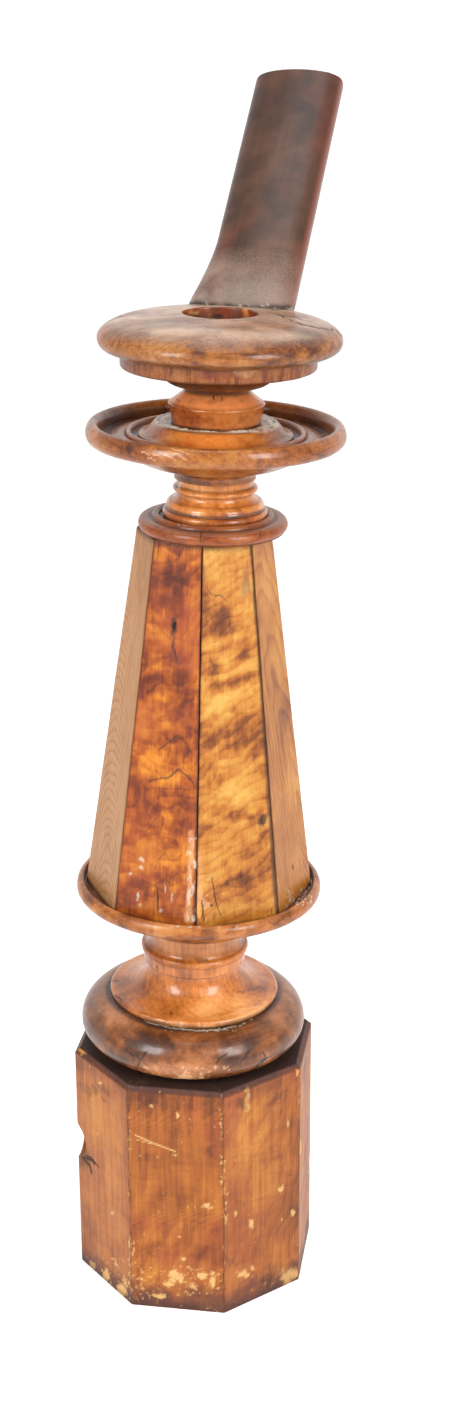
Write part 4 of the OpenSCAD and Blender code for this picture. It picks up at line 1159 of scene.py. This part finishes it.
S1.field = (Y1 - 0.20 * (X1 - (113 + (740 - Y1) * 0.055)) ** 2) * 0.10 + 0.9 * fbm(S1.V * 0.02, 613, 3)
S1.mask["tone"] += 0.25 * smooth(560, 900, Y1) - 0.1

tone(S2, 1.1, 0.030, 621, (1, 1, 0.8))
tone(S2, 0.9, 0.085, 622, (1, 1, 0.9))
tone(S2, 0.5, 0.20, 623, (1, 1, 0.7))
for c, r, k, a in (((175, 582), (22, 9), -1.0, 8), ((160, 600), (14, 14), -0.7, 0), ((188, 612), (6, 30), 0.35, 0), ((158, 612), (12, 8), 0.7, 0), ((175, 658), (11, 8), -1.0, 20), ((183, 674), (13, 13), -1.3, 30),
                   ((156, 666), (9, 4), 0.9, 5), ((184, 666), (7, 3), 0.9, -8), ((152, 678), (9, 5), -0.6, 0), ((158, 700), (20, 9), 0.8, -5), ((184, 704), (10, 8), -0.8, 20), ((150, 722), (16, 12), 0.8, 0), ((178, 752), (13, 15), -1.1, 5),
                   ((150, 755), (12, 10), 0.6, 0), ((150, 772), (16, 5), 0.7, 10), ((176, 776), (12, 3), 0.6, -10), ((172, 798), (20, 13), -0.9, 0), ((140, 812), (9, 20), -0.3, 0), ((160, 820), (14, 8), 0.4, 0), ((180, 825), (12, 16), -0.6, 0),
                   ((162, 862), (20, 8), 0.9, -5), ((138, 886), (14, 14), -0.45, 10), ((175, 876), (12, 6), -0.5, 0), ((152, 905), (18, 8), 0.3, 0)):
    S2.blob("tone", c, r, k, a, 0.8, 0.05, add=True, seed=int(c[1]))
S2.mask["red"] = np.maximum(S2.mask["red"], np.clip(0.15 + 0.75 * fbm(S2.V * 0.025, 624, 3), 0, 0.5))
S2.field = S2.q[:, 1] * 0.045 + S2.q[:, 0] * 0.02 + 2.2 * fbm(S2.V * 0.022, 625, 4) + 0.02 * np.abs(S2.q[:, 0] - 172)
S2.line("dark", [(149, 781), (169, 777), (178, 768.6), (185, 774), (193.5, 783)], 1.4, 0.8, 1.2, 0, 6, False)
S2.line("dark", [(160, 750), (171, 741), (178, 734), (184, 742), (191, 752)], 1.6, 0.6, 1.5, 0, 7, False)
S2.line("dark", [(150, 888), (165, 878.6), (175, 885)], 1.2, 0.55, 1.0, 0, 8)
S2.line("dark", [(152, 870), (164, 853), (172, 862)], 1.1, 0.45, 1.4, 0, 9)
S2.line("dark", [(146, 832), (158, 815), (170, 822)], 1.1, 0.45, 1.4, 0, 10)
S2.blob("crack", (174, 626), (1.9, 5.5), 1.0, 8, 0.35, 0.3, 0.8)
S2.blob("dark", (174, 627), (3.6, 9), 0.75, 8, 0.5, 0.2)
S2.line("dark", [(174, 634), (173, 648), (178, 664)], 2.0, 0.7, 1.2, 0, 11)
S2.line("crack", [(157.3, 888), (157.6, 900), (157.9, 915)], 1.25, 1.0, 0.3, 0.7, 12)
S2.line("crack", [(159, 538), (157, 560)], 0.8, 0.7, 0.6, 0.2, 13)
for c, r, a in (((140.7, 859), (2.2, 3.8), -35), ((141.6, 868), (1.6, 2.4), -20), ((130.8, 874), (2.4, 1.7), -25), ((138, 896), (1.4, 4.5), 5), ((165, 889), (1.1, 4.0), -5), ((171.5, 897), (1.2, 4.5), 5), ((140, 905), (1.4, 2), 0), ((160, 911), (2.5, 1.5), 0)):
    S2.blob("glue", c, (r[0] * 0.8, r[1] * 0.85), 0.6, a, 0.8, 0.4)
pts = [(191.6, 832), (191.2, 850), (190.3, 875), (189.2, 900), (189.6, 921)]
S2.line("wear_and_sheen", pts, 3.6, 0.75, 2.6, 0, 14, False)
S2.line("wear_and_sheen", [(190, 875), (188.5, 900), (187, 921)], 3.6, 0.6, 3.0, 0, 15, False)
S2.mask["wear_and_sheen"] *= 0.55 + 0.45 * smooth(-0.25, 0.15, fbm(S2.V * np.array([0.35, 0.35, 0.10]), 616, 3))
S2.specks("glue", (187, 838, 197, 922), 0.36, 3.0, 0.6, 61, (1, 0.3))

tone(S3, 0.9, 0.030, 631, (1, 1, 0.8))
tone(S3, 0.7, 0.085, 632, (1, 1, 0.9))
tone(S3, 0.45, 0.20, 633, (1, 1, 0.7))
d3 = S3.q[:, 0] * 0.62 + S3.q[:, 1] * 0.95 + 9 * fbm(S3.V * 0.018, 634, 3)
S3.field = d3 * 0.10 + 0.8 * fbm(S3.V * 0.05, 635, 3)
rip = np.sin(d3 * 2 * math.pi / 21 + 2.5 * fbm(S3.V * 0.02, 636, 3))
S3.mask["tone"] += 0.24 * rip * smooth(600, 660, S3.q[:, 1]) * (1 - 0.5 * smooth(820, 880, S3.q[:, 1]))
for c, r, k, a in (((222, 565), (22, 18), 0.5, 0), ((204, 596), (5, 16), -0.9, 0), ((222, 626), (9, 10), -0.9, 20), ((241, 610), (14, 4), 1.0, -12), ((240, 620), (10, 5), 0.5, -20), ((226, 640), (26, 5), 1.0, -16), ((244, 654), (5, 8), -1.0, 10),
                   ((214, 663), (6, 11), -1.1, -10), ((226, 663), (7, 5), 0.7, -20), ((240, 671), (16, 3), 0.7, -14), ((232, 682), (22, 4), -1.1, -18), ((214, 686), (7, 6), -0.9, 0), ((235, 698), (22, 7), 0.6, -25), ((212, 712), (10, 9), 0.5, -30),
                   ((212, 742), (12, 11), -0.7, 0), ((236, 740), (6, 12), -0.5, 20), ((225, 770), (24, 12), 0.3, -35), ((242, 795), (16, 14), 0.6, -30), ((242, 815), (14, 5), -1.0, 5), ((264, 832), (8, 7), -1.0, 40), ((220, 840), (18, 14), 0.5, -35),
                   ((262, 872), (10, 14), -1.0, 40), ((246, 884), (13, 9), -1.3, 15), ((226, 884), (5.5, 5), -1.3, 0), ((240, 905), (20, 7), 0.3, -5), ((262, 898), (12, 9), -0.4, 0), ((202, 880), (4, 20), 0.3, 0), ((206, 906), (6, 5), -0.7, 0)):
    S3.blob("tone", c, r, k, a, 0.8, 0.05, add=True, seed=int(c[1]) + 5)
S3.line("dark", [(203, 585), (210.7, 593), (222, 597), (229, 604)], 0.9, 0.75, 1.6, 0.1, 16)
S3.line("dark", [(216, 620), (229, 618), (231, 630), (224, 637)], 1.0, 0.6, 1.4, 0, 17)
S3.line("dark", [(209, 655), (214, 668), (212, 676), (219, 672)], 1.3, 0.6, 1.4, 0, 18)
S3.blob("dark", (263, 820), (3.6, 6.5), 0.85, 20, 0.35, 0.25, 0.3)
S3.line("crack", [(262.5, 815), (261.5, 821), (264.5, 828)], 1.0, 0.9, 0.5, 0.3, 19)
S3.line("dark", [(259, 816), (258.4, 823), (262, 831)], 0.9, 0.7, 0.4, 0, 20)
S3.blob("dark", (227, 883), (3.2, 3.2), 0.6, 0, 0.6, 0.2)
S3.blob("dark", (241, 877), (2.2, 1.4), 0.8)
S3.blob("dark", (211.5, 905.5), (2.0, 2.2), 0.85)
S3.line("crack", [(211.4, 874), (213.6, 887), (215.7, 901), (219, 911), (222.9, 919)], 1.0, 0.95, 0.5, 0.5, 21)
S3.line("crack", [(271.5, 909), (272, 915)], 0.8, 0.7, 0.3, 0.3, 22)
S3.blob("wear_and_sheen", (203, 905), (5, 8), 0.6, -20, 0.9, 0.15)
S3.blob("wear_and_sheen", (199.5, 878), (1.6, 22), 0.5, 0, 0.9, 0.15)
S3.specks("wear_and_sheen", (196, 870, 212, 922), 0.30, 3.0, 0.6, 62)
S3.blob("fresh_and_painted_light", (199, 911), (3.0, 10), 0.9, -5, 0.6, 0.2)
S3.line("crack", [(201.5, 899), (203, 910), (204, 921)], 1.2, 1.0, 0.6, 0.7, 23)
S3.blob("stain_and_sheen", (202, 560), (3, 26), 0.35, 0, 0.8, 0.1)
S3.blob("stain_and_sheen", (246, 585), (4, 16), 0.45, 3, 0.8, 0.1)

tone(S4, 0.45, 0.03, 641, (1, 1, 0.4))
tone(S4, 0.3, 0.12, 642, (1, 1, 0.3))
X4, Y4 = S4.q[:, 0], S4.q[:, 1]
xc = 255 + (Y4 - 545) * 0.165
S4.field = np.hypot((X4 - xc - 1) * 0.42, (Y4 - 830) * 0.055) + 0.030 * (Y4 - 560) + 0.8 * fbm(S4.V * 0.02, 643, 3)
for c, r, k, a in (((259, 555), (5, 5), -1.0, 0), ((268, 600), (6, 24), 0.4, 8), ((276, 655), (8, 16), 0.6, 8), ((284, 720), (6, 18), -0.7, 8), ((292, 785), (7, 14), 0.6, 8), ((284, 760), (6, 14), -0.5, 5), ((292, 830), (10, 16), -0.4, 5), ((300, 850), (6, 20), 0.3, 5), ((284, 880), (6, 18), -0.3, 0)):
    S4.blob("tone", c, r, k, a, 0.8, 0.05, add=True, seed=int(c[1]) + 9)
S4.line("crack", [(292.3, 864), (293.6, 870)], 1.0, 0.9, 0.4, 0.3, 24)
S4.specks("glue", (286, 888, 308, 910), 0.26, 2.0, 0.9, 63)
S3.mask["dark"] = np.maximum(S3.mask["dark"], 0.8 * smooth(0.87, 0.965, S3.u + 0.03 * fbm(S3.V * 0.03, 637, 2)))
S2.mask["dark"] = np.maximum(S2.mask["dark"], 0.7 * smooth(0.955, 0.985, S2.u))
for i in (5, 6, 7, 8):
    p = staves[i]
    tone(p, 0.8, 0.03, 650 + i, (1, 1, 0.6))
    tone(p, 0.5, 0.09, 660 + i, (1, 1, 0.5))
for i in (4, 5, 6, 7):
    p = boards[i]
    p.mask["tone"] -= 0.15

# ---- handrail -------------------------------------------------------------
p = handrail
tone(p, 0.9, 0.012, 671)
tone(p, 0.5, 0.05, 672)
p.mask["tone"] += 0.35 * smooth(0.35, 0.9, p.x / (RW / 2)) - 0.5 * smooth(140, 280, p.s) * smooth(-0.2, 0.5, p.x / (RW / 2))
p.mask["red"] = np.maximum(p.mask["red"], 0.75 * smooth(0.90, 0.995, p.x / (RW / 2)) * (p.y > -14))
p.mask["red"] = np.maximum(p.mask["red"], np.clip(0.8 * fbm(p.V * 0.016, 673, 3) + 0.05, 0, 0.28))
# a thin pale band along the rail's left edge: painted highlight
p.mask["wear_and_sheen"] = np.maximum(p.mask["wear_and_sheen"], 0.28 * smooth(0.86, 1.0, -p.x / (RW / 2)))
# the rail's foot is painted lighter and pale grey, most on its left side: painted sheen
p.mask["stain_and_sheen"] = np.maximum(p.mask["stain_and_sheen"], 0.85 * (1 - smooth(-8, 62, p.s)) * (0.35 + 0.65 * smooth(0.0, 0.9, -p.x / (RW / 2))) * np.clip(0.75 + 0.8 * fbm(p.V * 0.03, 674, 3), 0, 1))
p.mask["tone"] += 0.5 * (1 - smooth(0, 70, p.s))
for k_, y0 in enumerate((100, 118, 131, 147, 163, 181, 198, 214, 226, 241, 255)):
    p.line("dark", [(215, y0 + 3), (270, y0), (330, y0 - 3)], 0.8, 0.22 if y0 != 147 else 0.5, 1.6, 0, 680 + k_, False)
p.specks("wear_and_sheen", (205, 150, 330, 235), 0.40, 5.0, 0.35, 64)
p.blob("dark", (328, 74), (3, 2), 0.7, 30, 0.5, 0.3, 0.5)

# ---- the rough glue line at the rail's foot --------------------------------
cz = stack(np.array([[0.0, 0.0, Z_CAP]]), 15.0)[0]
rr_ = np.hypot(handrail.V[:, 0] - cz[0], handrail.V[:, 1] - cz[1])
zcap = Z_CAP + 11 + 21.6 * np.sqrt(np.clip(1 - (np.clip(rr_ - 73.2, 0, 50) / 50) ** 2, 0, 1))
gap = handrail.V[:, 2] - zcap
gn = fbm(handrail.V * 0.10, 681, 4)
band_ = (1 - smooth(0.5, 4.2 + 3.5 * gn, np.abs(gap - 0.5))) * (handrail.s < 120)
handrail.mask["dark"] = np.maximum(handrail.mask["dark"], np.clip(band_ * (0.85 + 0.5 * gn), 0, 1))
handrail.mask["glue"] = np.maximum(handrail.mask["glue"], np.clip(band_ * (fbm(handrail.V * 0.25, 682, 3) - 0.35) * 3, 0, 0.4))
handrail.push(np.clip(band_ * (0.8 + 2.6 * gn), 0, 2.6))
# nothing of the rail shows below the cap's rounded edge
handrail.V[:, 2] = np.maximum(handrail.V[:, 2], 1067.0)
handrail.update()
for c_, r_ in (((195, 304), (5, 2.5)), ((223, 303), (4, 2.2)), ((275, 306), (5, 2.5))):
    handrail.blob("dark", c_, r_, 0.9, 0, 0.7, 0.2, -1.2)
cap_line = [(190, 303), (205, 303.5), (223, 304), (245, 304.5), (262, 306), (278, 308), (292, 309)]
cap.line("dark", cap_line, 2.2, 0.85, 1.4, 0.0, 31, False)
for c_, r_ in (((196, 304.5), (5, 1.8)), ((276, 308), (6, 1.8)), ((222, 304), (4, 1.4))):
    cap.blob("dark", c_, r_, 0.9, 0, 0.8, 0.2, -0.8)


def finish_piece(p, mat, nodes, cut=None):
    p.matname = mat
    o = p.build(MAT[mat])
    if cut is not None:
        o = carve(o, cut)
    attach(o, "root")
    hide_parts(*nodes)
    return o


def bore_cutter(p):
    """The broken bore through the left side of the plinth, ragged at its mouth."""
    th = np.linspace(0, 2 * math.pi, 96, endpoint=False)
    rings = []
    for x in np.linspace(-150, -60, 60):
        r = 24.0 + 0.7 * fbm(np.stack([np.cos(th) * 2.2, np.sin(th) * 2.2, np.full(96, x * 0.1)], 1), 701, 3)
        r = r + np.clip((-118 - x) / 9, 0, 1) * 0.9 * np.clip(fbm(np.stack([np.cos(th) * 3, np.sin(th) * 3, th * 0], 1), 702, 3) + 0.2, 0, 1)
        rings.append(np.stack([np.full(96, x), BITE[0] + r * np.cos(th), BITE[1] + r * np.sin(th)], 1))
    grain = np.concatenate(rings)
    c = Piece("cutter", np.concatenate([r[::-1] for r in rings]), [np.zeros((0, 4), int)], grain * 0.001, "")
    n, m = 96, len(rings)
    idx = np.arange(n * m).reshape(m, n)
    a_, b_, c_, d_ = idx[:-1, :], np.roll(idx, -1, 1)[:-1, :], np.roll(idx, -1, 1)[1:, :], idx[1:, :]
    quads = np.stack([a_.ravel(), b_.ravel(), c_.ravel(), d_.ravel()], 1)
    c0, c1 = len(c.V), len(c.V) + 1
    c.V = np.concatenate([c.V, [[-150, BITE[0], BITE[1]], [-60, BITE[0], BITE[1]]]])
    c.grain = np.concatenate([c.grain, np.zeros((2, 3))])
    i_ = np.arange(n)
    j_ = np.roll(i_, -1)
    c.faces = [quads, np.concatenate([np.stack([np.full(n, c0), j_, i_], 1), np.stack([np.full(n, c1), (m - 1) * n + i_, (m - 1) * n + j_], 1)])]
    mid = c.V.mean(0)
    N_ = normals(c.V, c.faces)
    if np.einsum("ij,ij->i", c.V - np.array([-105, BITE[0], BITE[1]]), N_).sum() < 0:
        c.faces = [f[:, ::-1] for f in c.faces]
    c.mask = {k: np.zeros(len(c.V)) for k in c.mask}
    q_ = fbm(c.V * 0.12, 703, 3)
    c.mask["fresh_and_painted_light"] = np.clip(0.62 + 0.7 * q_, 0, 0.9)
    c.mask["dark"] = np.clip(0.25 + 0.9 * fbm(c.V * 0.07, 704, 3), 0, 0.7)
    c.field = None
    c.update()
    return c


def carve(o, cutter):
    k = cutter.build(MAT["plinth"])
    mod = o.modifiers.new("bore", "BOOLEAN")
    mod.operation = "DIFFERENCE"
    mod.solver = "EXACT"
    mod.object = k
    dg = bpy.context.evaluated_depsgraph_get()
    me = bpy.data.meshes.new_from_object(o.evaluated_get(dg), preserve_all_data_layers=True, depsgraph=dg)
    o.modifiers.clear()
    old = o.data
    o.data = me
    bpy.data.meshes.remove(old)
    kd = k.data
    bpy.data.objects.remove(k)
    bpy.data.meshes.remove(kd)
    me.polygons.foreach_set("use_smooth", np.ones(len(me.polygons), bool))
    if not me.materials:
        me.materials.append(MAT["plinth"])
    return o


for i, p in boards.items():
    finish_piece(p, "plinth", ["plinth_board_%d" % i], bore_cutter(p) if i in (7, 8) else None)
finish_piece(cushion, "cushion", ["base_cushion"])
finish_piece(lower_neck, "lower_neck", ["lower_neck"])
finish_piece(lower_dish, "lower_dish", ["lower_dish"])
for i, p in staves.items():
    finish_piece(p, p.slot, ["shaft_stave_%d" % i])
finish_piece(head_disc, "head_disc", ["head_disc"])
finish_piece(upper_neck, "upper_neck", ["upper_neck"])
finish_piece(upper_dish, "upper_dish", ["upper_dish"])
finish_piece(collar, "collar", ["collar"])
finish_piece(cap_ring, "ring", ["cap_ring"])
finish_piece(cap, "cap", ["cap"])
finish_piece(handrail, "rail", ["handrail"])

# ---------------------------------------------------------------------------
# Stage, light, camera
# ---------------------------------------------------------------------------
scene = bpy.context.scene
scene.view_settings.view_transform = "Standard"
scene.view_settings.look = "None"
scene.view_settings.exposure = 0.0

bpy.ops.mesh.primitive_plane_add(size=60, location=(0, 0, 0))
floor = bpy.context.object
floor.name = "floor"
fm = bpy.data.materials.new("floor_paint")
fm.use_nodes = True
fb = fm.node_tree.nodes["Principled BSDF"]
fb.inputs["Base Color"].default_value = (0.9, 0.9, 0.9, 1)
fb.inputs["Roughness"].default_value = 0.95
fb.inputs["Specular IOR Level"].default_value = 0.0
fb.inputs["Emission Color"].default_value = (1, 1, 1, 1)
fb.inputs["Emission Strength"].default_value = 0.36
floor.data.materials.append(fm)
bpy.ops.mesh.primitive_plane_add(size=60, location=(0, 16, 20), rotation=(math.radians(90), 0, 0))
backdrop = bpy.context.object
backdrop.name = "backdrop"
bm_ = fm.copy()
bm_.name = "backdrop_paint"
bm_.node_tree.nodes["Principled BSDF"].inputs["Base Color"].default_value = (0.2, 0.2, 0.2, 1)
bm_.node_tree.nodes["Principled BSDF"].inputs["Emission Strength"].default_value = 0.98
backdrop.data.materials.append(bm_)

world = bpy.data.worlds.new("studio")
world.use_nodes = True
world.node_tree.nodes["Background"].inputs["Color"].default_value = (1.0, 1.0, 1.0, 1)
world.node_tree.nodes["Background"].inputs["Strength"].default_value = 0.50
scene.world = world


def area(name, loc, target, size, power, color=(1, 1, 1)):
    l = bpy.data.lights.new(name, "AREA")
    l.shape = "RECTANGLE"
    l.size, l.size_y = size
    l.energy = power
    l.color = color
    o = bpy.data.objects.new(name, l)
    o.location = loc
    d = Vector(target) - Vector(loc)
    o.rotation_euler = d.to_track_quat("-Z", "Y").to_euler()
    scene.collection.objects.link(o)
    return o


# two tall soft boxes, left and right of the camera, and a weak top light
area("softbox_left", (-1.30, -1.85, 1.85), (0, 0, 0.75), (0.8, 1.3), 42)
area("softbox_right", (1.75, -1.35, 1.75), (0, 0, 0.75), (0.8, 1.3), 40)
area("top_light", (0.1, -0.2, 2.9), (0, 0, 0.6), (1.2, 1.2), 12)

cam = bpy.data.cameras.new("camera")
cam.sensor_fit = "AUTO"
cam.sensor_width = 36.0
cam.lens = FPX * 36.0 / 1401
cam.clip_start, cam.clip_end = 0.05, 50
co = bpy.data.objects.new("camera", cam)
R3 = Matrix([[RIGHT[r], UP[r], -FWD[r]] for r in range(3)])
co.matrix_world = Matrix.Translation(Vector(CAM * 0.001)) @ R3.to_4x4()
scene.collection.objects.link(co)
scene.camera = co
